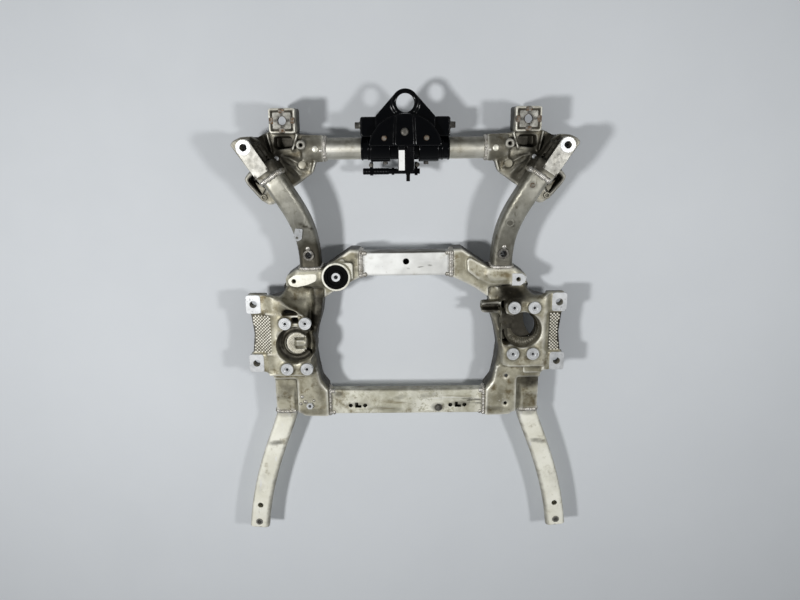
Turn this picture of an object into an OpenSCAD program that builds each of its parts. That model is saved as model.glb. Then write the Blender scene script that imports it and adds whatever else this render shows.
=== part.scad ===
// Welded aluminium front subframe for a car, lying flat with its top side up.
// X runs across the car, +Y points to the front of the car, +Z is up.
// The origin is the middle of the footprint, on the floor. Sizes in millimetres.

/* [Front castings] */
// Distance between the two front body holes, centre to centre
front_hole_span = 800; // [780:1:820]
// Radius of each front body hole
front_hole_r = 8.7; // [7:0.1:10]
// Height of the machined face round each front body hole
head_z = 190; // [186:1:200]
// Width of the machined strip on each arm head
head_w = 41; // [36:1:46]
// Distance between the centres of the two square pads
pad_span = 617; // [605:1:625]
// Side of each square pad across the car
pad_w = 66; // [60:1:70]
// Side of each square pad along the car
pad_l = 62; // [56:1:64]
// Height of the square pads
pad_z = 150; // [140:1:160]
// Bore radius of the ring pressed into each square pad
pad_hole_r = 10.6; // [9:0.1:11.5]

/* [Front tube] */
// Outer radius of the front tube
tube_r = 28; // [25:0.5:29]
// Wall of the front tube
tube_wall = 4; // [3:0.5:6]
// Height of the front tube axis
tube_z = 100; // [96:1:102]

/* [Arms and legs] */
// Width of each front arm
arm_w = 55; // [50:1:58]
// Depth of each front arm
arm_d = 65; // [60:1:66]
// Wall of the front arms
arm_wall = 4; // [3:0.5:6]
// Bore radius of the sleeve through each front arm
arm_sleeve_r = 9; // [7:0.5:10]
// Width of each rear leg
leg_w = 57; // [52:1:60]
// Depth of each rear leg at its casting
leg_d = 50; // [46:1:54]
// Depth of each rear leg at its pressed end
leg_end_d = 32; // [28:1:38]
// Wall of the rear legs
leg_wall = 4; // [3:0.5:6]
// Radius of the body hole in each rear leg end
leg_hole_r = 6.6; // [5:0.1:8]

/* [Crossbeams] */
// Width of the upper crossbeam along the car
up_w = 65; // [60:1:66]
// Depth of the upper crossbeam
up_d = 48; // [40:1:54]
// Radius of the hole in the upper crossbeam
up_hole_r = 8.5; // [6:0.5:10]
// Width of the lower crossbeam along the car
low_w = 73; // [68:1:74]
// Depth of the lower crossbeam
low_d = 30; // [26:1:36]
// Radius of the round holes in the lower crossbeam
low_hole_r = 6; // [4.5:0.1:6.5]
// Wall of both crossbeams
beam_wall = 4; // [3:0.5:6]

/* [Mid castings] */
// Distance between the outer lug holes, centre to centre
lug_hole_span = 828; // [820:1:836]
// Spacing of the outer lug holes along the car
lug_hole_pitch = 168; // [162:1:174]
// Radius of the outer lug holes
lug_hole_r = 9.4; // [8:0.1:10.5]
// Height of the upper face of the outer lugs
lug_z = 130; // [127:1:134]
// Spacing of the engine mount holes across the car
boss_dx = 54; // [50:1:58]
// Spacing of the engine mount holes along the car
boss_dy = 130; // [126:1:134]
// Bore radius of the engine mount thread inserts
boss_hole_r = 4.2; // [3.3:0.1:4.8]
// Height of the engine mount boss faces
boss_z = 150; // [146:1:156]
// Bore radius of the control arm ears under each casting
ear_hole_r = 6.5; // [5:0.1:8]
// Radius of the round recess between the bosses
recess_r = 50; // [46:1:51]
// Radius of the rubber in the bush
bush_r = 30; // [27:0.5:31]
// Bore radius of the bush inner sleeve
bush_hole_r = 5.6; // [4.5:0.1:7]

/* [Front bracket] */
// Radius of the hole in the bracket eye
eye_hole_r = 22.5; // [18:0.5:25]
// Outer radius of the bracket eye
eye_r = 34; // [32:0.5:35]
// Half of the whole length, from the middle to the top of the eye and to the leg tips
half_length = 631; // [622:1:640]
// Radius of the half-round dome
dome_r = 94; // [88:1:98]

/* [Hidden] */
$fn = 48;
// running gap between two round faces that meet
gap = 0.3;
// side and top corner rounding of the bent tubes
arm_corner = 14;
leg_corner = 12;
// plan of the right arm axis, foot to head, as four control points
arm_p = [[256.5, 172], [256.5, 280], [278, 325], [340, 420]];
// heights of the arm axis, foot to head
arm_foot_z = 98;
arm_head_z = 152;
// turn of the arm at its head
arm_turn = atan2(arm_p[3][1] - arm_p[2][1], arm_p[3][0] - arm_p[2][0]);
// plan of the right leg axis, casting to foot
leg_turn = atan2(19, 198);
leg_end = [447, leg_w / 2 * sin(leg_turn) - half_length];
leg_p = [[343, -245], [343, -285], leg_end + 199 * [-sin(leg_turn), cos(leg_turn)], leg_end];
leg_top_z = 100;
leg_foot_z = 90;
// places shared by several pieces
tip = [front_hole_span / 2, 492.5];
pad_c = [pad_span / 2, 556];
tube_y = 485.5;
socket_x = 210;
tube_end = 246;
plate_z = 122;
deck_z = boss_z - 10;
body_z0 = 40;
up_y = 183.5;
up_z = 120;
up_end = 124;
low_y = -218;
low_z = 105;
low_end = 222;
lug_x = lug_hole_span / 2;
lug_y = -7;
ear_y = [-66, 54];
ear_t = 14;
boss_left = [-301, -38];
boss_right = [317, 1];
insert_wall = 2;
insert_l = 24;
bush_c = [-187, 153];
bush_l = 72;
bush_z0 = 68;
sleeve_c = [257.5, 212];
sleeve_wall = 5;
// lean of the tab, along the top of the left arm, and the height of the arm axis under its foot
tab_tilt = 19;
tab_axis_z = 113;
leg_hole = [446, 21 - half_length];
leg_hole_up = [439.5, 76 - half_length];
crush_wall = 3.4;
weld_w = 5;
weld_l = 8;
// the leg starts to bend inside its bead, so this gap is wider
leg_weld_gap = 1.9;
pad_ring_wall = 1.4;
block_y = tube_y + tube_r + 1;
plate_top = 150;

function bez(p, t) = p[0] * pow(1 - t, 3) + p[1] * 3 * t * pow(1 - t, 2)
    + p[2] * 3 * t * t * (1 - t) + p[3] * pow(t, 3);
function bez_d(p, t) = (p[1] - p[0]) * 3 * pow(1 - t, 2) + (p[2] - p[1]) * 6 * t * (1 - t)
    + (p[3] - p[2]) * 3 * t * t;
function unit(v) = v / norm(v);
function ease(t) = t * t * (3 - 2 * t);

// points of one rounded corner b between a and c, b as [x, y, radius]
function corner(a, b, c) =
    let (p = [b[0], b[1]], r = b[2])
    r <= 0 ? [p] :
    let (u = unit([a[0], a[1]] - p), v = unit([c[0], c[1]] - p),
         h = acos(u * v) / 2, d = r / tan(h),
         m = p + unit(u + v) * (r / sin(h)),
         s = p + u * d - m, e = p + v * d - m,
         a0 = atan2(s[1], s[0]),
         w = atan2(s[0] * e[1] - s[1] * e[0], s * e),
         n = max(2, ceil(abs(w) / 18)))
    [for (i = [0 : n]) m + r * [cos(a0 + w * i / n), sin(a0 + w * i / n)]];
// outline with its corners rounded, from points as [x, y, radius]
function rounded(p) = [for (i = [0 : len(p) - 1])
    for (q = corner(p[(i + len(p) - 1) % len(p)], p[i], p[(i + 1) % len(p)])) q];
function box_outline(x0, y0, x1, y1, r) = rounded([[x0, y0, r], [x1, y0, r], [x1, y1, r], [x0, y1, r]]);

// solid of one outline between two heights
module slab(points, z0, z1) {
    translate([0, 0, z0])
        linear_extrude(z1 - z0)
            polygon(points);
}
module box(x0, y0, z0, x1, y1, z1) {
    translate([x0, y0, z0])
        cube([x1 - x0, y1 - y0, z1 - z0]);
}
// upright round post or hole
module post(c, r, z0, z1) {
    translate([c[0], c[1], z0])
        cylinder(r = r, h = z1 - z0);
}
// upright wall between two plan points
module rib(a, b, w, z0, z1) {
    translate([a[0], a[1], z0])
        rotate(atan2(b[1] - a[1], b[0] - a[0]))
            translate([0, -w / 2, 0])
                cube([norm(b - a), w, z1 - z0]);
}
// hexagon prism with its across-flats size
module hex(af, h) {
    linear_extrude(h)
        polygon([for (i = [0 : 5]) af / sqrt(3) * [cos(60 * i), sin(60 * i)]]);
}

// one ring of a bent tube: rounded box section, w wide, d deep, at place c with plan direction a
function ring(c, a, slope, w, d, r) =
    [for (q = box_outline(-w / 2, -d / 2, w / 2, d / 2, r))
        [c[0] - sin(a) * q[0] - cos(a) * sin(slope) * q[1],
         c[1] + cos(a) * q[0] - sin(a) * sin(slope) * q[1],
         c[2] + cos(slope) * q[1]]];
// hollow tube from equal lists of outer and inner rings
module hollow_sweep(outer, inner) {
    n = len(outer);
    m = len(outer[0]);
    points = concat([for (k = outer) for (q = k) q], [for (k = inner) for (q = k) q]);
    base = n * m;
    side = [for (i = [0 : n - 2]) for (j = [0 : m - 1])
        let (a = i * m + j, b = i * m + (j + 1) % m)
        each [[a, b + m, b], [a, a + m, b + m]]];
    bore = [for (i = [0 : n - 2]) for (j = [0 : m - 1])
        let (a = base + i * m + j, b = base + i * m + (j + 1) % m)
        each [[a, b, b + m], [a, b + m, a + m]]];
    start = [for (j = [0 : m - 1])
        let (a = j, b = (j + 1) % m)
        each [[a, b, base + b], [a, base + b, base + a]]];
    last = (n - 1) * m;
    end = [for (j = [0 : m - 1])
        let (a = last + j, b = last + (j + 1) % m)
        each [[a, base + b, b], [a, base + a, base + b]]];
    polyhedron(points, concat(side, bore, start, end));
}

// places along the right arm
function arm_at(t) = let (p = bez(arm_p, t))
    [p[0], p[1], arm_foot_z + (arm_head_z - arm_foot_z) * ease(t)];
function arm_dir(t) = let (d = bez_d(arm_p, t)) atan2(d[1], d[0]);
function arm_slope(t) = let (d = bez_d(arm_p, t))
    atan2((arm_head_z - arm_foot_z) * 6 * t * (1 - t), norm(d));
arm_steps = 16;
module right_arm() {
    difference() {
        hollow_sweep(
            [for (i = [0 : arm_steps]) let (t = i / arm_steps)
                ring(arm_at(t), arm_dir(t), arm_slope(t), arm_w, arm_d, arm_corner)],
            [for (i = [0 : arm_steps]) let (t = i / arm_steps)
                ring(arm_at(t), arm_dir(t), arm_slope(t), arm_w - 2 * arm_wall, arm_d - 2 * arm_wall,
                    arm_corner - arm_wall)]);
        post(sleeve_c, arm_sleeve_r + sleeve_wall + gap, 40, 200);
    }
}

// places along the right leg, its top face running from leg_top_z to leg_foot_z
function leg_depth(t) = leg_d + (leg_end_d - leg_d) * ease(t);
function leg_at(t) = let (p = bez(leg_p, t))
    [p[0], p[1], leg_top_z + (leg_foot_z - leg_top_z) * ease(t) - leg_depth(t) / 2];
function leg_dir(t) = let (d = bez_d(leg_p, t)) atan2(d[1], d[0]);
leg_steps = 16;
module right_leg() {
    difference() {
        hollow_sweep(
            [for (i = [0 : leg_steps]) let (t = i / leg_steps)
                ring(leg_at(t), leg_dir(t), 0, leg_w, leg_depth(t), leg_corner)],
            [for (i = [0 : leg_steps]) let (t = i / leg_steps)
                ring(leg_at(t), leg_dir(t), 0, leg_w - 2 * leg_wall, leg_depth(t) - 2 * leg_wall,
                    leg_corner - leg_wall)]);
        post(leg_hole, leg_hole_r + crush_wall + gap, 30, 120);
        post(leg_hole_up, 8.5, leg_foot_z - leg_end_d / 2, 120);
    }
}

// front casting of the right side
head_l = (tip[0] - arm_p[3][0]) * cos(arm_turn) + (tip[1] - arm_p[3][1]) * sin(arm_turn);
head_off = (tip[0] - arm_p[3][0]) * sin(arm_turn) - (tip[1] - arm_p[3][1]) * cos(arm_turn);
module in_head() {
    translate([tip[0], tip[1], 0])
        rotate(arm_turn + 180)
            children();
}
web_plan = rounded([[socket_x, 452, 3], [socket_x, 519, 3], [270, 522, 6], [350, 530, 6], [388, 512, 10],
    [400, 470, 12], [372, 420, 10], [344, 392, 12], [292, 388, 10], [242, 424, 14], [234, 452, 8]]);
lug_plan = rounded([[352, 446, 8], [416, 426, 10], [431, 407, 8], [422, 390, 10], [388, 350, 12],
    [366, 336, 12], [346, 343, 10], [330, 396, 12]]);
module right_front_casting() {
    difference() {
        union() {
            // arm head with its machined strip, flange and stub
            in_head() {
                post([0, 0], head_w / 2, 120, head_z);
                box(0, -head_w / 2, 120, head_l - 14, head_w / 2, head_z);
                slab(rounded([[-28, 33, 4], [-32, 20, 6], [-29, 0, 8], [-15, -25, 8], [4, -34, 8],
                    [head_l - 10, -36, 4], [head_l - 10, 30, 4]]), 128, 148);
                slab(rounded([[-16, 20, 10], [-16, -26, 10], [head_l - 10, -34, 4], [head_l - 10, 24, 4]]), 66, 130);
                slab(box_outline(head_l - 34, -head_off - arm_w / 2 - 4, head_l, -head_off + arm_w / 2 + 4, 3),
                    arm_head_z - arm_d / 2 - 3, arm_head_z + arm_d / 2 + 2);
                // ribs beside the strip
                box(2, -27, 146, head_l - 20, -24, 168);
                box(10, -34, 146, head_l - 16, -31, 158);
            }
            // web and tube socket
            slab(web_plan, 62, 110);
            translate([socket_x, tube_y, tube_z])
                rotate([0, 90, 0])
                    cylinder(r = tube_r + 5, h = 56);
            // square pad tower
            slab(box_outline(pad_c[0] - pad_w / 2, pad_c[1] - pad_l / 2,
                pad_c[0] + pad_w / 2, pad_c[1] + pad_l / 2, 6), 62, pad_z);
            // outer low lug
            slab(lug_plan, 0, 70);
            // raised bosses on the web
            post([266, 496], 12.5, 100, 138);
            post([266, 445.5], 11.5, 100, 122);
            post([332, 462], 9, 100, 118);
            // rim along the open edge and radiating ribs
            rib([234, 455], [242, 426], 6, 100, 122);
            rib([242, 426], [294, 391], 6, 100, 114);
            rib([294, 391], [336, 393], 6, 100, 113);
            rib([325, 470], [270, 418], 5, 100, 116);
            rib([338, 468], [296, 400], 5, 100, 114);
            rib([322, 474], [250, 436], 5, 100, 117);
            rib([290, 480], [276, 522], 5, 100, 124);
            rib([342, 474], [352, 526], 5, 100, 124);
        }
        // front body hole and its counterbore from below
        post(tip, front_hole_r, 0, head_z + 1);
        post(tip, front_hole_r + 6, 40, 160);
        // cross notches between strip and stub
        in_head()
            box(head_l - 20, head_w / 2 - 5, head_z - 6, head_l - 14, head_w / 2 + 1, head_z + 1);
        in_head()
            box(head_l - 20, -head_w / 2 - 1, head_z - 6, head_l - 14, -head_w / 2 + 5, head_z + 1);
        // bore for the front tube
        translate([socket_x - 1, tube_y, tube_z])
            rotate([0, 90, 0])
                cylinder(r = tube_r + gap, h = tube_end - socket_x + 2);
        // pad: seat for its ring, square groove, side notches, hollow tower
        post(pad_c, pad_hole_r + pad_ring_wall + gap, 40, pad_z + 1);
        difference() {
            slab(box_outline(pad_c[0] - 27, pad_c[1] - 24, pad_c[0] + 27, pad_c[1] + 24, 4), pad_z - 4, pad_z + 1);
            slab(box_outline(pad_c[0] - 23, pad_c[1] - 20, pad_c[0] + 23, pad_c[1] + 20, 3), pad_z - 5, pad_z + 2);
        }
        for (s = [-1, 1]) {
            box(pad_c[0] + s * pad_w / 2 - 3, pad_c[1] - 5, pad_z - 10, pad_c[0] + s * pad_w / 2 + 3, pad_c[1] + 5,
                pad_z + 1);
            box(pad_c[0] - 5, pad_c[1] + s * pad_l / 2 - 3, pad_z - 10, pad_c[0] + 5, pad_c[1] + s * pad_l / 2 + 3,
                pad_z + 1);
        }
        slab(box_outline(pad_c[0] - pad_w / 2 + 7, pad_c[1] - pad_l / 2 + 7,
            pad_c[0] + pad_w / 2 - 7, pad_c[1] + pad_l / 2 - 7, 4), 40, pad_z - 16);
        // pocket window below the pad
        slab(rounded([[292, 489, 4], [330, 484, 4], [338, 492, 4], [337, 516, 4], [292, 516, 4]]), 70, 140);
        // web hollowed from below, its ribs left between the pockets
        slab(rounded([[256, 440, 6], [284, 402, 6], [322, 400, 6], [322, 452, 8], [270, 452, 8]]), 50, 102);
        slab(rounded([[330, 410, 6], [350, 404, 6], [366, 432, 8], [344, 470, 8], [330, 470, 6]]), 50, 102);
        // low lug: pocket from above, slot from below
        slab(rounded([[372, 424, 6], [408, 416, 6], [420, 404, 5], [412, 394, 5], [384, 362, 5], [372, 384, 8]]),
            14, 80);
        slab(rounded([[352, 420, 6], [364, 420, 6], [366, 372, 6], [362, 346, 3], [352, 352, 3], [342, 396, 6]]),
            -1, 60);
        // threaded boss hole, blind, and seats for the plug buttons
        post([266, 496], 4.7, 110, 140);
        post([332, 462], 6 + gap, 112, 130);
        // dished top of the round boss
        post([266, 445.5], 7.5, 119, 130);
    }
}

// plan outlines of the mid castings, drawn for the right side
body_plan = rounded([[up_end, up_y - up_w / 2 - 4, 0], [up_end, up_y + up_w / 2 + 4, 0], [150, 222, 10],
    [196, 190, 18], [222, 172, 0], [292, 172, 5], [324, 150, 8], [324, 126, 8], [342, 94, 10], [384, 82, 6],
    [384, -112, 6], [372, -134, 6], [372, -245, 0], [300, -245, 8], [290, -254, 6],
    [low_end, low_y - low_w / 2 - 2, 0], [low_end, low_y + low_w / 2 + 3, 0], [241, -152, 12], [250, -104, 30],
    [255, -57, 30], [247, -11, 30], [232, 40, 20], [226, 88, 12], [186, 116, 10], [160, 130, 10]]);
module outer_lugs() {
    // upright wall with a thick ear at each lug hole
    slab(box_outline(374, -112, 392, 82, 5), body_z0, lug_z - 4);
    for (s = [-1, 1]) {
        y = lug_y + s * lug_hole_pitch / 2;
        slab(rounded([[380, y - 26, 2], [lug_x + 20, y - 26, 8], [lug_x + 20, y + 26, 10], [380, y + 26, 2]]),
            96, lug_z);
    }
    // waisted strip between the ears
    strip = rounded([[380, lug_y - 60, 0], [lug_x + 10, lug_y - 60, 4], [lug_x + 3, lug_y, 60],
        [lug_x + 10, lug_y + 60, 4], [380, lug_y + 60, 0]]);
    slab(strip, 102, lug_z - 6);
}
module lug_holes() {
    for (s = [-1, 1])
        post([lug_x, lug_y + s * lug_hole_pitch / 2], lug_hole_r, -1, lug_z + 1);
}
// slope from the engine deck down to the outer lugs
module deck_slope(y0, y1) {
    translate([0, y1, 0])
        rotate([90, 0, 0])
            linear_extrude(y1 - y0)
                polygon([[376, 112], [392, 112], [392, lug_z - 10], [380, deck_z - 1], [376, deck_z - 1]]);
}
// stepped hollow slope cut in front of the deck
module front_slope(x0, x1) {
    translate([x0, 0, 0])
        rotate([90, 0, 90])
            linear_extrude(x1 - x0)
                polygon([[89, 160], [90, 132], [94, 116], [101, 104], [111, 96], [123, 92], [123, 160]]);
}
module bosses(c) {
    for (sx = [-1, 1], sy = [-1, 1])
        post([c[0] + sx * boss_dx / 2, c[1] + sy * boss_dy / 2], 17, 108, boss_z);
}
module boss_holes(c) {
    for (sx = [-1, 1], sy = [-1, 1])
        post([c[0] + sx * boss_dx / 2, c[1] + sy * boss_dy / 2], boss_hole_r + insert_wall + gap,
            boss_z - insert_l - 6, boss_z + 1);
}
// body, sockets and lower plate that both mid castings share
module mid_body() {
    slab(body_plan, body_z0, plate_z);
    // raised shoulder and block at the arm foot
    slab(rounded([[162, 205, 8], [196, 186, 16], [222, 172, 0], [292, 172, 5], [320, 150, 8], [316, 126, 6],
        [226, 126, 8], [192, 142, 10], [164, 164, 10]]), 60, plate_z + 6);
    slab(rounded([[218, 172, 0], [292, 172, 4], [302, 156, 6], [282, 138, 6], [226, 138, 6], [212, 154, 6]]),
        60, arm_foot_z + arm_d / 2 + 3);
    // low flange seen in front of the lugs
    post([326, 112], 13, 56, 68);
    rib([306, 118], [330, 100], 22, 56, 68);
    outer_lugs();
}
// pair of ears under the deck for a control arm, bored along the car
module arm_ears() {
    for (y = ear_y)
        translate([0, y + ear_t / 2, 0])
            rotate([90, 0, 0])
                linear_extrude(ear_t)
                    polygon(rounded([[312, 70, 0], [374, 70, 0], [374, 0, 14], [328, 0, 14]]));
}
module arm_ear_holes() {
    translate([350, ear_y[1] + 20, 19])
        rotate([90, 0, 0])
            cylinder(r = ear_hole_r, h = ear_y[1] - ear_y[0] + 40);
}
module mid_pockets() {
    // step down over the leg socket
    box(308, -250, leg_top_z + 5, 390, -142, 150);
    box(330, -250, leg_top_z + 2, 390, -200, 150);
    // hollow from below, ribs left between the pockets
    slab(rounded([[132, 158, 5], [132, 208, 5], [150, 212, 6], [188, 186, 8], [214, 166, 6], [214, 132, 6],
        [176, 148, 6]]), 30, plate_z - 8);
    slab(box_outline(240, 116, 284, 158, 6), 30, plate_z - 8);
    slab(rounded([[241, 62, 6], [238, 104, 6], [310, 108, 6], [310, 62, 6]]), 30, 78);
    slab(rounded([[318, 62, 5], [318, 98, 5], [338, 86, 5], [366, 78, 5], [366, 62, 5]]), 30, 78);
    slab(rounded([[262, -74, 5], [262, -96, 5], [256, -122, 5], [310, -122, 5], [310, -74, 5]]), 30, plate_z - 8);
    slab(box_outline(318, -122, 362, -74, 6), 30, plate_z - 8);
    slab(rounded([[230, -184, 5], [252, -130, 6], [296, -130, 6], [296, -178, 6]]), 30, plate_z - 9);
    slab(rounded([[230, -192, 5], [296, -186, 6], [296, -236, 6], [284, -244, 5], [230, -248, 4]]), 30, plate_z - 9);
    slab(box_outline(306, -236, 364, -134, 6), 30, leg_top_z - 6);
    slab(box_outline(268, -58, 366, 46, 8), 30, 76);
    // low rim at the inner side
    slab(rounded([[222, 119, 4], [258, 119, 4], [262, -84, 8], [256, -106, 4], [228, -106, 4]]), 107, 160);
}
// walled round recess in the engine deck
module recess_wall(c) {
    post(c, recess_r + 6, 84, deck_z);
}
module right_mid_casting() {
    c = boss_right;
    difference() {
        union() {
            difference() {
                mid_body();
                mid_pockets();
            }
            slab(rounded([[256, 60, 16], [278, 88, 8], [382, 100, 4], [382, -104, 6], [260, -104, 10]]),
                plate_z - 10, deck_z);
            deck_slope(-104, 98);
            arm_ears();
            bosses(c);
            recess_wall(c);
            // lug beside the arm foot, its corners cut
            slab([[276, 124], [306, 124], [318, 133], [323, 147], [310, 158], [276, 160]], 100, 136);
            // finger lug pointing inwards
            slab(rounded([[204, 48, 5], [204, 75, 5], [262, 80, 2], [262, 44, 2]]), 88, 126);
            // lip at the back of the deck
            slab(rounded([[322, -126, 5], [376, -126, 5], [376, -86, 2], [322, -86, 2]]), plate_z - 8, plate_z + 8);
        }
        lug_holes();
        arm_ear_holes();
        // deep trough at the inner side of the deck, open to the recess
        slab(rounded([[257, 76, 6], [266, 84, 4], [270, 46, 6], [300, 40, 4], [300, -36, 4], [262, -44, 6]]),
            86, deck_z + 1);
        // hollow slope in front of the deck
        front_slope(258, 372);
        boss_holes(c);
        post(c, recess_r, 92, deck_z + 1);
        // opening through the recess floor
        intersection() {
            post(c, recess_r - 9, 60, deck_z);
            translate([c[0] - 1, c[1] + 10, 60])
                rotate(-60)
                    box(-70, 0, 0, 70, 80, 90);
        }
        post([300, 142], 6, 40, 150);
        post([278, -137], 4.8, 60, 150);
        post([278, -220], 4.8, 60, 150);
    }
    // radial ribs on the rim round the opening
    for (k = [0 : 9])
        translate([c[0], c[1], 0])
            rotate(-118 + k * 18)
                box(recess_r - 8.5, -1.6, 88, recess_r + 2, 1.6, 100);
}
module left_mid_casting() {
    c = [-boss_left[0], boss_left[1]];
    b = [-bush_c[0], bush_c[1]];
    difference() {
        union() {
            difference() {
                mid_body();
                mid_pockets();
            }
            slab(rounded([[272, 36, 8], [288, 54, 10], [316, 68, 16], [344, 96, 10], [382, 100, 4],
                [382, -126, 6], [258, -126, 12], [262, -84, 8]]), plate_z - 10, deck_z);
            deck_slope(-120, 98);
            arm_ears();
            bosses(c);
            recess_wall(c);
            // curved ridge along the front of the deck
            rib([276, 46], [292, 56], 6, plate_z, deck_z + 4);
            rib([291, 55.5], [318, 69], 6, plate_z, deck_z + 4);
            rib([317, 68], [343, 94], 6, plate_z, deck_z + 4);
            // tapered lug beside the arm foot
            slab(rounded([[238, 162, 2], [298, 160, 12], [318, 144, 10], [312, 129, 10], [294, 124, 10],
                [262, 131, 4], [238, 142, 2]]), 100, 136);
            // bush housing and the block beside it
            post(b, bush_r + 8.5, 62, bush_z0 + bush_l);
            slab(box_outline(142, 146, 187, 190, 6), 108, 132);
        }
        lug_holes();
        arm_ear_holes();
        boss_holes(c);
        // bore for the bush
        post(b, bush_r + 3 + gap, 40, 200);
        // recess with a disc and a bar left standing in it
        difference() {
            post(c, recess_r, 92, deck_z + 1);
            post(c, 31, 80, 116);
            box(c[0] - 56, c[1] - 5, 80, c[0] - 20, c[1] + 5, 120);
        }
        // slot in the disc
        box(c[0] - 26, c[1] - 16, 108, c[0] + 8, c[1] - 9, 130);
        box(c[0] - 26, c[1] + 9, 108, c[0] + 8, c[1] + 16, 130);
        // deep trough at the inner side of the deck, open to the recess
        slab(rounded([[256, 86, 6], [268, 88, 4], [272, 30, 5], [274, -70, 5], [262, -76, 5]]), 88, deck_z + 1);
        // hollow in front of the ridge
        slab(rounded([[256, 60, 4], [276, 52, 4], [292, 62, 6], [316, 74, 8], [340, 99, 4], [350, 112, 2],
            [328, 123, 2], [256, 123, 4]]), 106, deck_z + 10);
        slab(rounded([[256, 84, 4], [306, 80, 8], [336, 102, 4], [350, 112, 2], [328, 123, 2], [256, 123, 4]]),
            94, deck_z + 10);
        // window and square hole at the front of the deck
        slab(rounded([[294, 48, 2], [338, 46, 4], [336, 64, 4], [318, 60, 3], [294, 57, 2]]), 60, 160);
        box(293, 26, 60, 312, 42, 160);
        post([300, 142], 6, 40, 150);
        post([273, -220], 4.8, 60, 150);
    }
}

// hollow straight beam along X
module beam(y, z, w, d, end, r) {
    translate([-end, y, z - d / 2])
        rotate([90, 0, 90])
            linear_extrude(2 * end)
                difference() {
                    polygon(box_outline(-w / 2, -d / 2, w / 2, d / 2, r));
                    polygon(box_outline(-w / 2 + beam_wall, -d / 2 + beam_wall, w / 2 - beam_wall,
                        d / 2 - beam_wall, 2));
                }
}
// weld bead round a box section that stands on a face, drawn along +X from the face
module box_weld(w, d, r, g) {
    rotate([90, 0, 90])
        linear_extrude(weld_l)
            difference() {
                polygon(box_outline(-w / 2 - weld_w, -d / 2 - weld_w, w / 2 + weld_w, d / 2 + weld_w, r + weld_w));
                polygon(box_outline(-w / 2 - g, -d / 2 - g, w / 2 + g, d / 2 + g, r));
            }
}
module both_sides() {
    children();
    mirror([1, 0, 0])
        children();
}

module front_tube() {
    color("silver")
        difference() {
            translate([-tube_end, tube_y, tube_z])
                rotate([0, 90, 0])
                    cylinder(r = tube_r, h = 2 * tube_end);
            translate([-tube_end - 1, tube_y, tube_z])
                rotate([0, 90, 0])
                    cylinder(r = tube_r - tube_wall, h = 2 * tube_end + 2);
        }
}
module front_casting_right() {
    color("tan")
        right_front_casting();
}
module front_casting_left() {
    color("tan")
        mirror([1, 0, 0])
            right_front_casting();
}
module front_arm_right() {
    color("silver")
        right_arm();
}
module front_arm_left() {
    color("silver")
        mirror([1, 0, 0])
            right_arm();
}
module mid_casting_right() {
    color("tan")
        right_mid_casting();
}
module mid_casting_left() {
    color("tan")
        mirror([1, 0, 0])
            left_mid_casting();
}
module upper_crossbeam() {
    color("silver")
        difference() {
            beam(up_y, up_z, up_w, up_d, up_end, 6);
            post([0, up_y + 6.5], up_hole_r, up_z - up_d / 2, up_z + 1);
        }
}
module lower_crossbeam() {
    color("silver")
        difference() {
            beam(low_y, low_z, low_w, low_d, low_end, 4);
            for (x = [-160, -119, 124, 164])
                post([x, low_y - 12], low_hole_r, low_z - low_d / 2, low_z + 1);
            // bent slots between the round holes
            for (x = [-140, 144]) {
                box(x - 7.4, low_y - 19, low_z - low_d / 2, x + 1.2, low_y - 3, low_z + 1);
                box(x - 7.4, low_y - 19, low_z - low_d / 2, x + 10.4, low_y - 11, low_z + 1);
            }
            post([90, low_y - 19], 8.5, low_z - beam_wall - 1, low_z + 1);
        }
}
module rear_leg_right() {
    color("silver")
        right_leg();
}
module rear_leg_left() {
    color("silver")
        mirror([1, 0, 0])
            right_leg();
}
module weld_front_tube() {
    color("gray")
        both_sides()
            translate([socket_x - weld_l, tube_y, tube_z])
                rotate([0, 90, 0])
                    difference() {
                        cylinder(r = tube_r + weld_w, h = weld_l);
                        translate([0, 0, -1])
                            cylinder(r = tube_r + gap, h = weld_l + 2);
                    }
}
module weld_arm_heads() {
    color("gray")
        both_sides()
            translate([arm_p[3][0], arm_p[3][1], arm_head_z])
                rotate(arm_turn + 180)
                    box_weld(arm_w, arm_d, arm_corner, gap);
}
module weld_arm_feet() {
    color("gray")
        both_sides()
            translate([arm_p[0][0], arm_p[0][1], arm_foot_z])
                rotate(90)
                    box_weld(arm_w, arm_d, arm_corner, gap);
}
module weld_upper_beam() {
    color("gray")
        both_sides()
            translate([up_end, up_y, up_z - up_d / 2])
                rotate(180)
                    box_weld(up_w, up_d, 6, gap);
}
module weld_lower_beam() {
    color("gray")
        both_sides()
            translate([low_end, low_y, low_z - low_d / 2])
                rotate(180)
                    box_weld(low_w, low_d, 4, gap);
}
module weld_legs() {
    color("gray")
        both_sides()
            translate([leg_p[0][0], leg_p[0][1], leg_top_z - leg_d / 2])
                rotate(-90)
                    box_weld(leg_w, leg_d, leg_corner, leg_weld_gap);
}
// upright tube with a named bore
module sleeve(c, r_in, r_out, z0, z1) {
    difference() {
        post(c, r_out, z0, z1);
        post(c, r_in, z0 - 1, z1 + 1);
    }
}
module bush_outer_sleeve() {
    color("gray")
        sleeve(bush_c, bush_r + gap, bush_r + 3, bush_z0, bush_z0 + bush_l);
}
module bush_rubber() {
    color("black")
        difference() {
            sleeve(bush_c, 11.5 + gap, bush_r, bush_z0 + 4, bush_z0 + bush_l - 3);
            translate([bush_c[0], bush_c[1], bush_z0 + bush_l - 8])
                rotate_extrude()
                    translate([17, 0])
                        square([8, 8]);
        }
}
module bush_inner_sleeve() {
    color("silver")
        sleeve(bush_c, bush_hole_r, 11.5, bush_z0 - 2, bush_z0 + bush_l + 2);
}
module arm_sleeves() {
    color("silver")
        both_sides()
            sleeve(sleeve_c, arm_sleeve_r, arm_sleeve_r + sleeve_wall, arm_foot_z - arm_d / 2, arm_foot_z + arm_d / 2 + 8);
}
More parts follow.
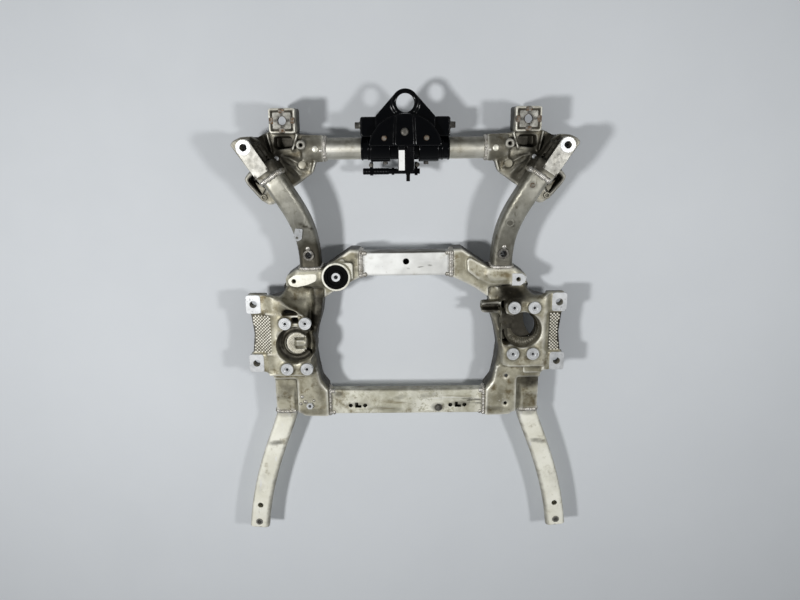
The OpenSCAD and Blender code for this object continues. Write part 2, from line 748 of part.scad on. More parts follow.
module arm_tab() {
    color("silver")
        translate([-282, 262, tab_axis_z + (arm_d / 2 + gap) / cos(tab_tilt)])
            rotate([tab_tilt, 0, 0])
                difference() {
                    slab(rounded([[-4, 27, 3], [15, 25, 3], [10, -4, 6], [-2, -11, 6], [-12, -2, 6]]), 0, 3);
                    post([-2, 0], 3.8, -1, 4);
                }
}
module leg_crush_sleeves() {
    color("silver")
        both_sides()
            sleeve(leg_hole, leg_hole_r, leg_hole_r + crush_wall, leg_foot_z - leg_end_d, leg_foot_z + 1.5);
}
module inserts(c) {
    for (sx = [-1, 1], sy = [-1, 1])
        sleeve([c[0] + sx * boss_dx / 2, c[1] + sy * boss_dy / 2], boss_hole_r, boss_hole_r + insert_wall,
            boss_z - insert_l, boss_z - 0.5);
}
module boss_inserts_left() {
    color("gray")
        inserts(boss_left);
}
module boss_inserts_right() {
    color("gray")
        inserts(boss_right);
}
module pad_rings() {
    color("silver")
        both_sides()
            sleeve(pad_c, pad_hole_r, pad_hole_r + pad_ring_wall, pad_z - 15, pad_z + 1.5);
}
module web_plugs() {
    color("silver")
        both_sides()
            post([332, 462], 6, 112, 120.5);
}
module plate_nut() {
    color("silver")
        difference() {
            translate([-273, -220, plate_z])
                hex(17, 9);
            post([-273, -220], 4.3, plate_z - 1, plate_z + 10);
        }
}
module beam_stud() {
    color("gray") {
        post([90, low_y - 19], 8.2, low_z - beam_wall, low_z - 1);
        post([90, low_y - 19], 4, low_z - 2, low_z + 9);
    }
}

// front bracket, drawn round the front tube
eye_c = [0, half_length - eye_r];
bar_y = 426;
flange_bolt_y = 512;
module eye_bracket() {
    color("black")
        difference() {
            union() {
                post(eye_c, eye_r, plate_top - 12, plate_top + 5);
                slab(rounded([[-27, eye_c[1] + 21, 8], [27, eye_c[1] + 21, 8], [76, 564, 6], [76, block_y, 2],
                    [-76, block_y, 2], [-76, 564, 6]]), plate_top - 12, plate_top);
                // half-round dome and its spine
                intersection() {
                    post([0, 478], dome_r, plate_top - 1, plate_top + 14);
                    box(-120, block_y - 22, 0, 120, 640, 300);
                }
                slab(rounded([[-28, block_y - 22, 4], [24, block_y - 22, 4], [20, 571, 8], [-24, 571, 8]]),
                    plate_top - 1, plate_top + 20);
            }
            post(eye_c, eye_hole_r, 100, 200);
            post([-2, 527], 7 + gap, 100, 200);
            for (x = [-53, 53])
                post([x, flange_bolt_y], 5 + gap, 100, 200);
        }
}
module bracket_base() {
    color("black")
        difference() {
            slab(box_outline(-114, block_y, 114, 564, 5), 72, plate_top - 12);
            box(-108, block_y + 6, 60, 108, 558, 120);
            for (x = [-114, 114])
                translate([x, 543, 105])
                    rotate([0, 90, 0])
                        translate([0, 0, -10])
                            cylinder(r = 4 + gap, h = 20);
            post([-2, 527], 7 + gap, 100, 200);
        }
}
module tube_saddles() {
    color("black")
        for (x = [-64, 60])
            translate([x - 26, tube_y, tube_z])
                rotate([0, 90, 0])
                    difference() {
                        cylinder(r = tube_r + 7, h = 52);
                        translate([0, 0, -1])
                            cylinder(r = tube_r + gap, h = 54);
                        translate([-100, tube_r + 0.8, -1])
                            cube([200, 100, 54]);
                        translate([14, -100, -1])
                            cube([100, 200, 54]);
                        translate([-2, 10, -1])
                            cube([100, 100, 54]);
                    }
}
module tube_collars() {
    color("black")
        for (x = [-114, 92])
            translate([x, tube_y, tube_z])
                rotate([0, 90, 0])
                    difference() {
                        cylinder(r = tube_r + 0.9, h = 22);
                        translate([0, 0, -1])
                            cylinder(r = tube_r + gap, h = 24);
                    }
}
module centre_bolt() {
    color("gray") {
        post([-2, 527], 11, plate_top + 20, plate_top + 23);
        translate([-2, 527, plate_top + 22])
            hex(16, 7);
        post([-2, 527], 7, plate_top - 24, plate_top + 21);
    }
}
module flange_bolts() {
    color("brown")
        for (x = [-53, 53]) {
            post([x, flange_bolt_y], 9.5, plate_top + 14, plate_top + 17);
            translate([x, flange_bolt_y, plate_top + 16])
                hex(14, 7);
            post([x, flange_bolt_y], 5, plate_top - 10, plate_top + 15);
        }
}
module side_bolts() {
    color("gray")
        both_sides()
            translate([114, 543, 105])
                rotate([0, 90, 0]) {
                    cylinder(r = 11, h = 3);
                    translate([0, 0, 2])
                        hex(16, 13);
                    translate([0, 0, -8])
                        cylinder(r = 4, h = 9);
                }
}
module saddle_bolts() {
    color("black")
        for (x = [-52, 54])
            translate([x, tube_y - tube_r - 7, tube_z - 6])
                rotate([90, 0, 0])
                    hex(11, 7);
}
module control_module() {
    color("black")
        difference() {
            slab(box_outline(-19, 428, 22, 492, 3), tube_z + tube_r + gap, 158);
            post([1.5, 488], 3, 150, 160);
        }
}
module module_label() {
    color("white")
        slab(box_outline(-17, 432, -2, 482, 1), 158, 158.6);
}
module module_pin() {
    color("silver")
        translate([6.5, 428, 146])
            rotate([90, 0, 0]) {
                cylinder(r = 5.5, h = 8);
                cylinder(r = 4.8, h = 24);
            }
}
module conduit_bar() {
    color("black")
        translate([-111, bar_y, tube_z - 6])
            rotate([0, 90, 0])
                cylinder(r = 7, h = 149);
}
module bar_clip() {
    color("black")
        translate([-36, bar_y, tube_z - 6])
            rotate([0, 90, 0])
                difference() {
                    cylinder(r = 9.5, h = 7);
                    translate([0, 0, -1])
                        cylinder(r = 7 + gap, h = 9);
                }
}
module bar_straps() {
    color("silver")
        for (x = [-88, 28])
            translate([x, 0, 0])
                difference() {
                    box(-4, bar_y - 10, tube_z - 15, 4, tube_y - tube_r - 7.2, tube_z + 4);
                    translate([-5, bar_y, tube_z - 6])
                        rotate([0, 90, 0])
                            cylinder(r = 7 + gap, h = 10);
                }
}

front_tube();
front_casting_left();
front_casting_right();
front_arm_left();
front_arm_right();
mid_casting_left();
mid_casting_right();
upper_crossbeam();
lower_crossbeam();
rear_leg_left();
rear_leg_right();
weld_front_tube();
weld_arm_heads();
weld_arm_feet();
weld_upper_beam();
weld_lower_beam();
weld_legs();
bush_outer_sleeve();
bush_rubber();
bush_inner_sleeve();
arm_sleeves();
arm_tab();
leg_crush_sleeves();
boss_inserts_left();
boss_inserts_right();
pad_rings();
web_plugs();
plate_nut();
beam_stud();
eye_bracket();
bracket_base();
tube_saddles();
tube_collars();
centre_bolt();
flange_bolts();
side_bolts();
saddle_bolts();
control_module();
module_label();
module_pin();
conduit_bar();
bar_clip();
bar_straps();
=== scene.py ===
# %% [markdown]
# This lesson dresses a welded aluminium subframe from a car. The solids come from the CAD
# model, already in their places, in metres. The camera looks down on the part as it lies.
# Blender adds what CAD leaves out: soft cast edges, weld ripples, the diamond hatch,
# stained metal and gloss black paint.

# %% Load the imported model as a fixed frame
import math

import bmesh
import bpy
import numpy as np
from mathutils import Matrix, Vector


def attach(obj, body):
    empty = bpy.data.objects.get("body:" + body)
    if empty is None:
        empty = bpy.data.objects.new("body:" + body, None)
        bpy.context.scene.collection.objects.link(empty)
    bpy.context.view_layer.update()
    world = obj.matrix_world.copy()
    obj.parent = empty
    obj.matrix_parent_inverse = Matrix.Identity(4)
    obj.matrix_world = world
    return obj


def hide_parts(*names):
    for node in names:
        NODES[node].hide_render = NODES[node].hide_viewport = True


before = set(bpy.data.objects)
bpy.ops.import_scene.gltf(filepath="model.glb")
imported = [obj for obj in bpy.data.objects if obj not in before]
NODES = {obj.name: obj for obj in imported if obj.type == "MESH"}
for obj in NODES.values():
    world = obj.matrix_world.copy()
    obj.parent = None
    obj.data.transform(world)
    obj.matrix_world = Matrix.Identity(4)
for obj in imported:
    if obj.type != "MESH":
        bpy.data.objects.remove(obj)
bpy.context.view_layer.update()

MM = 0.001
scene = bpy.context.scene
print("nodes loaded:", len(NODES))

# %% [markdown]
# The camera is a phone held a little above the middle of the part, close by, so the far
# legs look smaller than they are. Its place was worked out from points whose real
# positions are known, so the render can be laid over the photograph.

# %% Camera
PHOTO_WIDTH = 800
FOCAL_PIXELS = 674
SENSOR = 36.0
CAMERA_AT = Vector((-0.017, 0.5431, 1.8898))
LEAN, ROLL = math.radians(14.55), math.radians(0.5)
right = Vector((1, 0, 0))
up = Vector((0, math.cos(LEAN), -math.sin(LEAN)))
back = Vector((0, math.sin(LEAN), math.cos(LEAN)))
rolled_right = right * math.cos(ROLL) - up * math.sin(ROLL)
rolled_up = up * math.cos(ROLL) + right * math.sin(ROLL)
lens = bpy.data.cameras.new("camera")
lens.sensor_fit = "HORIZONTAL"
lens.sensor_width = SENSOR
lens.lens = FOCAL_PIXELS / PHOTO_WIDTH * SENSOR
camera = bpy.data.objects.new("camera", lens)
camera.matrix_world = (Matrix.Translation(CAMERA_AT)
                       @ Matrix((rolled_right, rolled_up, back)).transposed().to_4x4())
scene.collection.objects.link(camera)
scene.camera = camera
print("lens in mm:", round(lens.lens, 2))

# %% [markdown]
# Two soft lamps stand left and right of the camera, the left one stronger, so each piece
# throws a dark shadow to the right and a paler one to the left. An even grey world fills
# in the rest. Together they light a flat white sheet to about white.

# %% Lamps and world


def lamp(name, place, aim, watts, size):
    data = bpy.data.lights.new(name, "AREA")
    data.shape = "DISK"
    data.energy = watts
    data.size = size
    obj = bpy.data.objects.new(name, data)
    obj.location = place
    obj.rotation_euler = (Vector(aim) - Vector(place)).to_track_quat("-Z", "Y").to_euler()
    scene.collection.objects.link(obj)


AIM = (0, 0, 0.1)
lamp("lamp_left", (-1.25, 0.15, 2.30), AIM, 36.5, 0.26)
lamp("lamp_right", (1.15, 0.35, 2.00), AIM, 16.2, 0.24)
world = bpy.data.worlds.new("room")
scene.world = world
world.use_nodes = True
sky = world.node_tree
scene.view_settings.view_transform = "Standard"

# %% [markdown]
# Node trees take many lines, so a few small helpers wire them. A socket is given as a
# number, a colour or another node's output, by its name or by its place in the list.

# %% Helpers for node trees


def node(tree, kind, settings=None, **sockets):
    made = tree.nodes.new(kind)
    for key, value in (settings or {}).items():
        setattr(made, key, value)
    for key, value in sockets.items():
        numbered = key[0] == "i" and key[1:].isdigit()
        socket = made.inputs[int(key[1:]) if numbered else key.replace("_", " ")]
        if isinstance(value, bpy.types.NodeSocket):
            tree.links.new(value, socket)
        else:
            socket.default_value = value
    return made


def math_node(tree, operation, a, b=0.0):
    return node(tree, "ShaderNodeMath", {"operation": operation}, i0=a, i1=b).outputs[0]


def spread(tree, value, low, high, to_low=0.0, to_high=1.0):
    return node(tree, "ShaderNodeMapRange", None, Value=value, From_Min=low, From_Max=high,
                To_Min=to_low, To_Max=to_high).outputs["Result"]


def mix_colour(tree, mask, a, b):
    return node(tree, "ShaderNodeMix", {"data_type": "RGBA"}, i0=mask, i6=a, i7=b).outputs[2]


def object_place(tree):
    return node(tree, "ShaderNodeTexCoord").outputs["Object"]


def stretched(tree, factors):
    return node(tree, "ShaderNodeVectorMath", {"operation": "MULTIPLY"},
                i0=object_place(tree), i1=factors).outputs[0]


def group(name, inputs, outputs):
    tree = bpy.data.node_groups.new(name, "ShaderNodeTree")
    for socket, kind, default in inputs:
        made = tree.interface.new_socket(socket, in_out="INPUT", socket_type="NodeSocket" + kind)
        made.default_value = default
    for socket in outputs:
        tree.interface.new_socket(socket, in_out="OUTPUT", socket_type="NodeSocketFloat")
    return tree, tree.nodes.new("NodeGroupInput").outputs, tree.nodes.new("NodeGroupOutput").inputs


def rgb(r, g, b):
    return (r, g, b, 1.0)


print("helpers ready")

# %% [markdown]
# The room is brighter near the floor than overhead, so upward faces mirror something dark
# and the black paint stays black. A plain gradient on the direction does that.

# %% World gradient
way = node(sky, "ShaderNodeSeparateXYZ", None,
           Vector=node(sky, "ShaderNodeTexCoord").outputs["Generated"]).outputs
level = math_node(sky, "ADD", math_node(sky, "MULTIPLY", way["Z"], -0.30),
                  math_node(sky, "MULTIPLY", way["Y"], -0.08))
level = math_node(sky, "MAXIMUM", math_node(sky, "ADD", level, 0.42), 0.06)
sky.links.new(level, sky.nodes["Background"].inputs["Strength"])
sky.nodes["Background"].inputs["Color"].default_value = rgb(0.95, 0.98, 1.0)
print("world ready")

# %% [markdown]
# Old aluminium is never one colour. Oil mist, road dirt and white oxide lie on it in
# clouds of several sizes. This group gives one cloud mask and can be stretched along one
# direction, so it also makes rolling lines and wiped streaks.

# %% Shader group: clouds of stain


def make_clouds():
    tree, given, out = group(
        "stain_clouds",
        [("Scale", "Float", 20.0), ("Low", "Float", 0.4), ("High", "Float", 0.6),
         ("Stretch", "Vector", (1, 1, 1)), ("Seed", "Float", 0.0)], ["Mask"])
    noise = node(tree, "ShaderNodeTexNoise", {"noise_dimensions": "4D"},
                 Vector=stretched(tree, given["Stretch"]), W=given["Seed"],
                 Scale=given["Scale"], Detail=6.0, Roughness=0.62)
    mask = node(tree, "ShaderNodeMapRange", {"interpolation_type": "SMOOTHSTEP"},
                Value=noise.outputs["Fac"], From_Min=given["Low"], From_Max=given["High"])
    tree.links.new(mask.outputs["Result"], out["Mask"])
    return tree


CLOUDS = make_clouds()


def clouds(tree, scale, low, high, seed, stretch=(1, 1, 1)):
    return node(tree, "ShaderNodeGroup", {"node_tree": CLOUDS}, Scale=scale, Low=low, High=high,
                Seed=seed, Stretch=stretch).outputs["Mask"]


print("group:", CLOUDS.name)

# %% [markdown]
# Sand casting leaves a grainy skin, and shot blasting adds small pits. The group gives a
# height for a Bump node: soft lumps, grain and pits added together.

# %% Shader group: cast grain


def make_grain():
    tree, given, out = group("cast_grain", [("Scale", "Float", 600.0), ("Pits", "Float", 0.4)],
                             ["Height"])
    where = object_place(tree)
    fine = node(tree, "ShaderNodeTexNoise", None, Vector=where, Scale=given["Scale"], Detail=3.0)
    lumps = node(tree, "ShaderNodeTexNoise", None, Vector=where, Scale=90.0, Detail=2.0)
    cells = node(tree, "ShaderNodeTexVoronoi", None, Vector=where, Scale=260.0)
    pits = math_node(tree, "MULTIPLY", spread(tree, cells.outputs["Distance"], 0.05, 0.3),
                     given["Pits"])
    total = math_node(tree, "ADD", math_node(tree, "ADD", fine.outputs["Fac"], pits),
                      math_node(tree, "MULTIPLY", lumps.outputs["Fac"], 1.6))
    tree.links.new(total, out["Height"])
    return tree


GRAIN = make_grain()
print("group:", GRAIN.name)

# %% [markdown]
# Hollows and deep places turn dark, partly as dirt and partly as painted shade, and ridges turn
# pale, partly as polish and partly as painted highlight. The castings carry four values at each
# point: hollow, depth and ridge, measured later from their own shape, and a fourth value painted
# with listed ovals and boxes where the real part is dirty or lies in shade. This group breaks them
# up with noise, so the darkening ends in a ragged line.

# %% Shader group: dirt and painted shade in hollows, polish and painted highlight on ridges


def make_wear_and_painted_light():
    tree, given, out = group("dirt_and_polish",
                             [("Ragged", "Float", 0.35), ("Scale", "Float", 60.0)],
                             ["DirtAndShade", "PolishAndHighlight"])
    noise = node(tree, "ShaderNodeTexNoise", None, Vector=object_place(tree),
                 Scale=given["Scale"], Detail=5.0)
    ragged = math_node(tree, "MULTIPLY", math_node(tree, "SUBTRACT", noise.outputs["Fac"], 0.5),
                       given["Ragged"])
    hollow, depth, grime_and_shade, ridge = (
        node(tree, "ShaderNodeAttribute", {"attribute_name": name}).outputs["Fac"]
        for name in ("hollow", "depth", "grime_and_shade", "ridge"))
    # Darkening from the shape and from the painted value: dirt and painted shade. Lightening on
    # ridges: polish and painted highlight.
    shape = math_node(tree, "MAXIMUM", math_node(tree, "MULTIPLY", hollow, 0.85), depth)
    dirt_and_shade = math_node(tree, "MAXIMUM", shape, grime_and_shade)
    for name, seen in (("DirtAndShade", dirt_and_shade), ("PolishAndHighlight", ridge)):
        broken = math_node(tree, "MULTIPLY", ragged, spread(tree, seen, 0.02, 0.25))
        edge = math_node(tree, "ADD", seen, broken)
        tree.links.new(spread(tree, edge, 0.06, 0.85), out[name])
    return tree


WEAR_AND_PAINTED_LIGHT = make_wear_and_painted_light()
print("group:", WEAR_AND_PAINTED_LIGHT.name)

# %% [markdown]
# Every finish is built alike, on a Principled shader. A base colour is covered by layers of cloud,
# each given as colour, scale, low and high edge, seed and stretch. Then come the marks of wear
# together with painted shade and highlight, a patchy roughness, and a bump from the cast grain or
# from drawn lines.

# %% Layered finish
PATCH_EDGES = (0.3, 0.7)


def layered(name, metallic, base, layers, rough, bump=None, wear_and_light=None, lines=None):
    mat = bpy.data.materials.new(name)
    mat.use_nodes = True
    tree = mat.node_tree
    shader = tree.nodes["Principled BSDF"].inputs
    shader["Metallic"].default_value = metallic
    shader["IOR"].default_value = 1.5
    tone = rgb(*base)
    for colour, *cloud in layers:
        tone = mix_colour(tree, clouds(tree, *cloud), tone, rgb(*colour))
    if wear_and_light:
        ragged, scale, marks = wear_and_light
        found = node(tree, "ShaderNodeGroup", {"node_tree": WEAR_AND_PAINTED_LIGHT}, Ragged=ragged, Scale=scale)
        for kind, amount, colour in marks:
            mask = math_node(tree, "MULTIPLY", found.outputs[kind], amount)
            tone = mix_colour(tree, mask, tone, rgb(*colour))
    tree.links.new(tone, shader["Base Color"])
    scale, seed, smooth, dull, *edges = rough
    patches = clouds(tree, scale, *(edges or PATCH_EDGES), seed)
    tree.links.new(spread(tree, patches, 0, 1, smooth, dull), shader["Roughness"])
    if bump:
        depth, strength, *grain = bump
        if lines:
            height = node(tree, "ShaderNodeTexNoise", None, Vector=stretched(tree, lines),
                          Scale=400.0, Detail=2.0).outputs["Fac"]
        else:
            height = node(tree, "ShaderNodeGroup", {"node_tree": GRAIN}, Scale=grain[0],
                          Pits=grain[1]).outputs["Height"]
        made = node(tree, "ShaderNodeBump", None, Strength=strength, Distance=depth, Height=height)
        tree.links.new(made.outputs["Normal"], shader["Normal"])
    return mat


print("layered finish ready")

# %% [markdown]
# The castings are grey with a warm, dirty tone, with oil clouds and small pale spots. Their hollows
# are darker, from dirt and painted shade, and their ridges brighter, from polish and painted
# highlight. The hatched places are cleaner.

# %% Finish: cast aluminium


def make_cast(name, bright, dull, brown, seed):
    return layered(
        name, 0.62, bright,
        [(dull, 16, 0.40, 0.60, seed), (brown, 34, 0.50, 0.66, seed + 3),
         ((0.58, 0.56, 0.49), 120, 0.60, 0.72, seed + 7),
         ((0.10, 0.09, 0.066), 300, 0.64, 0.72, seed + 11)],
        (45, 5.0, 0.40, 0.62), (0.00035, 0.55, 520.0, 0.5),
        # Ridges turn pale with polish and painted highlight; hollows, deep places and painted
        # places turn dark with dirt and painted shade.
        (0.55, 70.0, [("PolishAndHighlight", 1.0, (0.84, 0.82, 0.73)), ("DirtAndShade", 1.0, (0.034, 0.030, 0.021))]))


CAST = make_cast("cast_aluminium", (0.36, 0.342, 0.278), (0.22, 0.204, 0.155),
                 (0.15, 0.126, 0.078), 0.0)
WARM_CAST = make_cast("cast_aluminium_warm", (0.47, 0.446, 0.345), (0.27, 0.248, 0.175),
                      (0.17, 0.138, 0.076), 200.0)
TEETH = layered("hatched_aluminium", 0.45, (0.90, 0.87, 0.77),
                [((0.70, 0.67, 0.56), 30, 0.36, 0.66, 14.0),
                 ((0.30, 0.27, 0.20), 55, 0.58, 0.70, 15.0)],
                (90, 16.0, 0.40, 0.60), (0.0001, 0.4, 900.0, 0.2))
print("finishes:", CAST.name, WARM_CAST.name, TEETH.name)

# %% [markdown]
# The tubes and crossbeams are extruded, so they are smoother and brighter than the
# castings. Faint lines run along them, and old brown stains and wiped streaks lie on top.

# %% Finish: extruded aluminium
ACROSS_CAR, ALONG_CAR = (0.06, 1, 1), (1, 0.18, 1)


def make_extruded(name, lines, metallic, bright, dull, brown, stains, seed):
    wiped = tuple(min(0.92, c * 1.14) for c in bright)
    return layered(
        name, metallic, bright,
        [(dull, 9, 0.38, 0.62, seed), (brown, 26, 0.58 - stains, 0.76 - stains, seed + 1),
         (dull, 90, 0.60 - stains, 0.70 - stains, seed + 5),
         (wiped, 60, 0.58, 0.72, seed + 2, lines),
         (brown, 75, 0.66 - stains, 0.76 - stains, seed + 3, lines)],
        (24, seed + 4, 0.36, 0.56), (0.00012, 0.35),
        # The painted places turn dark: stains, and painted shade along the sides, inside the beams
        # and on the tube's upper side.
        (0.6, 45.0, [("DirtAndShade", 1.0, (0.075, 0.068, 0.050))]), lines)


TUBE_METAL = make_extruded("extruded_tube", ACROSS_CAR, 0.78, (0.70, 0.685, 0.62),
                           (0.55, 0.53, 0.455), (0.34, 0.31, 0.23), 0.04, 21.0)
UPPER_METAL = make_extruded("extruded_upper_beam", ACROSS_CAR, 0.45, (0.88, 0.885, 0.855),
                            (0.72, 0.72, 0.69), (0.50, 0.48, 0.41), 0.0, 131.0)
LOWER_METAL = make_extruded("extruded_lower_beam", ACROSS_CAR, 0.45, (0.90, 0.885, 0.77),
                            (0.54, 0.52, 0.40), (0.26, 0.22, 0.135), 0.07, 141.0)
LEG_METAL = make_extruded("extruded_leg", ALONG_CAR, 0.24, (1.0, 0.985, 0.87),
                          (0.84, 0.82, 0.695), (0.52, 0.49, 0.375), 0.03, 151.0)
ARM_METAL = make_extruded("extruded_arm", ALONG_CAR, 0.72, (0.43, 0.42, 0.365),
                          (0.26, 0.25, 0.205), (0.17, 0.156, 0.115), 0.03, 31.0)
print("finishes:", *(m.name for m in (TUBE_METAL, UPPER_METAL, LOWER_METAL, LEG_METAL, ARM_METAL)))

# %% [markdown]
# Weld metal is silver on its crests, with soot between the ripples.

# %% Finish: weld metal
WELD = layered("weld_aluminium", 0.80, (0.62, 0.60, 0.56),
               [((0.33, 0.31, 0.265), 70, 0.35, 0.65, 41.0),
                ((0.13, 0.12, 0.10), 150, 0.55, 0.70, 42.0)],
               (90, 43.0, 0.30, 0.55), (0.0002, 0.5, 700.0, 0.2))
print("finish:", WELD.name)

# %% [markdown]
# Clean milled faces are the brightest places: almost white, lightly scratched, with a few
# grey marks where another part was clamped on them. The worn ones are grey or cream.

# %% Finish: machined metal


def make_milled(name, bright, dull, mark, amount, seed):
    return layered(
        name, 0.55, bright,
        [(dull, 40, 0.36, 0.70, seed),
         (mark, 150, 0.62 - amount, 0.74 - amount, seed + 1, (1, 0.5, 1)),
         (mark, 420, 0.66 - amount, 0.72 - amount, seed + 2)],
        (80, seed + 3, 0.34, 0.52), (0.00006, 0.3, 900.0, 0.1),
        # The painted places darken the face: clamp marks and painted shade.
        (1.3, 170.0, [("DirtAndShade", 1.0, tuple(c * 0.5 for c in mark))]))


MACHINED = make_milled("machined_metal", (0.66, 0.67, 0.675), (0.50, 0.51, 0.515),
                       (0.22, 0.22, 0.215), 0.02, 51.0)
WORN_FACE = make_milled("worn_milled_face", (0.35, 0.342, 0.31), (0.255, 0.247, 0.215),
                        (0.085, 0.077, 0.06), 0.0, 56.0)
PAD_FACE = make_milled("pad_face", (0.36, 0.352, 0.315), (0.13, 0.125, 0.107),
                       (0.045, 0.041, 0.031), 0.06, 156.0)
CREAM_FACE = make_milled("cream_face", (0.80, 0.785, 0.70), (0.60, 0.58, 0.49),
                         (0.16, 0.145, 0.105), 0.02, 256.0)
print("finishes:", MACHINED.name, WORN_FACE.name, PAD_FACE.name, CREAM_FACE.name)

# %% [markdown]
# Steel shows as dark grey fasteners and as a few rusty ones. Rust grows in orange and brown
# clouds and is rougher than the metal it eats.

# %% Finishes: steel and rusty steel


def make_steel(name, metallic, brown_edges, orange_edges, seed):
    return layered(name, metallic, (0.20, 0.19, 0.17),
                   [((0.085, 0.08, 0.07), 90, 0.35, 0.65, seed),
                    ((0.13, 0.082, 0.045), 140, *brown_edges, seed + 1),
                    ((0.24, 0.14, 0.065), 230, *orange_edges, seed + 2)],
                   (140, seed + 1, 0.38, 0.75, 0.4, 0.6), (0.00015, 0.5, 900.0, 0.4))


STEEL = make_steel("dark_steel", 0.85, (0.66, 0.76), (0.75, 0.80), 61.0)
RUSTY = make_steel("rusty_steel", 0.55, (0.42, 0.58), (0.58, 0.68), 66.0)
print("finishes:", STEEL.name, RUSTY.name)

# %% [markdown]
# The eye bracket has a thick black coat of paint, glossy on the crowns, with dust lying
# in patches. The rubber and the plastic are duller and greyer.

# %% Finishes: black paint, rubber and plastic


def make_black(name, base, dust, rough, lumps, shine, seed):
    mat = layered(name, 0.0, base,
                  [(dust, 26, 0.50, 0.82, seed),
                   ((0.011, 0.0105, 0.010), 170, 0.68, 0.76, seed + 1, (1, 0.35, 1))],
                  (50, seed + 2, *rough), (0.00012, lumps, 500.0, 0.1),
                  # Ridges turn a little paler: rubbed paint and painted highlight.
                  (0.5, 110.0, [("PolishAndHighlight", 0.3, (0.02, 0.02, 0.02))]))
    mat.node_tree.nodes["Principled BSDF"].inputs["Specular IOR Level"].default_value = shine
    return mat


PAINT = make_black("black_paint", (0.0016, 0.0018, 0.0024), (0.0034, 0.0035, 0.0040),
                   (0.09, 0.18), 0.12, 0.15, 71.0)
RUBBER = make_black("black_rubber", (0.0020, 0.0020, 0.0020), (0.0070, 0.0064, 0.0056),
                    (0.50, 0.70), 0.35, 0.06, 76.0)
PLASTIC = make_black("black_plastic", (0.0024, 0.0026, 0.0032), (0.0060, 0.0060, 0.0068),
                     (0.20, 0.32), 0.20, 0.12, 81.0)
print("finishes:", PAINT.name, RUBBER.name, PLASTIC.name)

# %% [markdown]
# The label is plain white film, left bare here, with a faint grey smudge.

# %% Finish: bare label
LABEL = layered("white_label", 0.0, (0.86, 0.86, 0.84),
                [((0.66, 0.65, 0.62), 90, 0.5, 0.8, 91.0)],
                (60, 92.0, 0.35, 0.5), (0.00004, 0.3, 1500.0, 0.0))
print("finish:", LABEL.name)

# %% [markdown]
# The floor is a plain pale sheet, a little cool, like the painted wall behind the part.

# %% Floor
HALF_FLOOR = 6.0
floor_mesh = bpy.data.meshes.new("floor")
floor_mesh.from_pydata([(sx * HALF_FLOOR, sy * HALF_FLOOR, 0)
                        for sx, sy in ((-1, -1), (1, -1), (1, 1), (-1, 1))], [], [(0, 1, 2, 3)])
floor_mesh.materials.append(layered("pale_floor", 0.0, (0.66, 0.685, 0.71),
                                    [((0.63, 0.655, 0.68), 1.2, 0.3, 0.7, 95.0)],
                                    (6, 96.0, 0.65, 0.8)))
floor = bpy.data.objects.new("floor", floor_mesh)
scene.collection.objects.link(floor)
print("floor side in m:", round(floor.dimensions.x, 2))

# %% [markdown]
# Pieces are made as plain meshes whose places are in their points. These helpers make an
# object, bake its modifiers, and hand it over to the frame with its finish.

# %% Helpers for pieces
SAME_POINT = 1e-5


def new_piece(name, mesh):
    obj = bpy.data.objects.new(name, mesh)
    scene.collection.objects.link(obj)
    return obj


def mesh_from(bm, name):
    mesh = bpy.data.meshes.new(name)
    bm.to_mesh(mesh)
    bm.free()
    return mesh


def bake(obj):
    bpy.context.view_layer.update()
    graph = bpy.context.evaluated_depsgraph_get()
    mesh = bpy.data.meshes.new_from_object(obj.evaluated_get(graph))
    obj.modifiers.clear()
    obj.data = mesh
    return obj


def hand_over(obj, mat, slot, *stands_for):
    obj.data.materials.clear()
    obj.data.materials.append(mat)
    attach(obj, "root")
    if stands_for:
        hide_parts(*stands_for)
    faces = sum(len(p.vertices) - 2 for p in obj.data.polygons)
    print(obj.name, "triangles:", faces)
    return obj


def merged_copy(name, solid):
    bm = bmesh.new()
    bm.from_mesh(NODES[solid].data)
    bmesh.ops.remove_doubles(bm, verts=bm.verts, dist=SAME_POINT)
    bmesh.ops.dissolve_degenerate(bm, edges=bm.edges, dist=SAME_POINT)
    return new_piece(name, mesh_from(bm, name))


def shade(mesh, angle):
    mesh.shade_smooth()
    mesh.set_sharp_from_angle(angle=math.radians(angle))


print("helpers ready")

# %% [markdown]
# A real casting has no sharp edge. A copy of each cast solid is remeshed into an even net
# of small squares, and every point then moves towards its neighbours a few times, which
# rounds the edges and fills the corners. The moves are done with arrays, because that is
# quick and lets each place have its own amount. How far a point would sink or rise when
# relaxed also tells whether it lies in a hollow or on a ridge.

# %% Cast skin


def read(items, key, width, kind=float):
    flat = np.empty(len(items) * width, kind)
    items.foreach_get(key, flat)
    return flat.reshape(-1, width)


def points_of(mesh):
    return read(mesh.vertices, "co", 3)


def normals_of(mesh):
    return read(mesh.vertices, "normal", 3)


def edges_of(mesh):
    return read(mesh.edges, "vertices", 2, np.int32)


def set_points(mesh, co):
    mesh.vertices.foreach_set("co", co.astype(np.float32).ravel())
    mesh.update()


def set_value(mesh, name, values):
    layer = mesh.attributes.new(name, "FLOAT", "POINT")
    layer.data.foreach_set("value", values.astype(np.float32))


def relax(co, pairs, rounds, amount=0.5):
    a, b = pairs[:, 0], pairs[:, 1]
    count = len(co)
    links = np.maximum(np.bincount(a, minlength=count) + np.bincount(b, minlength=count), 1)
    for _ in range(rounds):
        mean = np.stack([(np.bincount(a, co[b, k], count) + np.bincount(b, co[a, k], count)) / links
                         for k in range(3)], axis=1)
        co = co + (mean - co) * amount
    return co


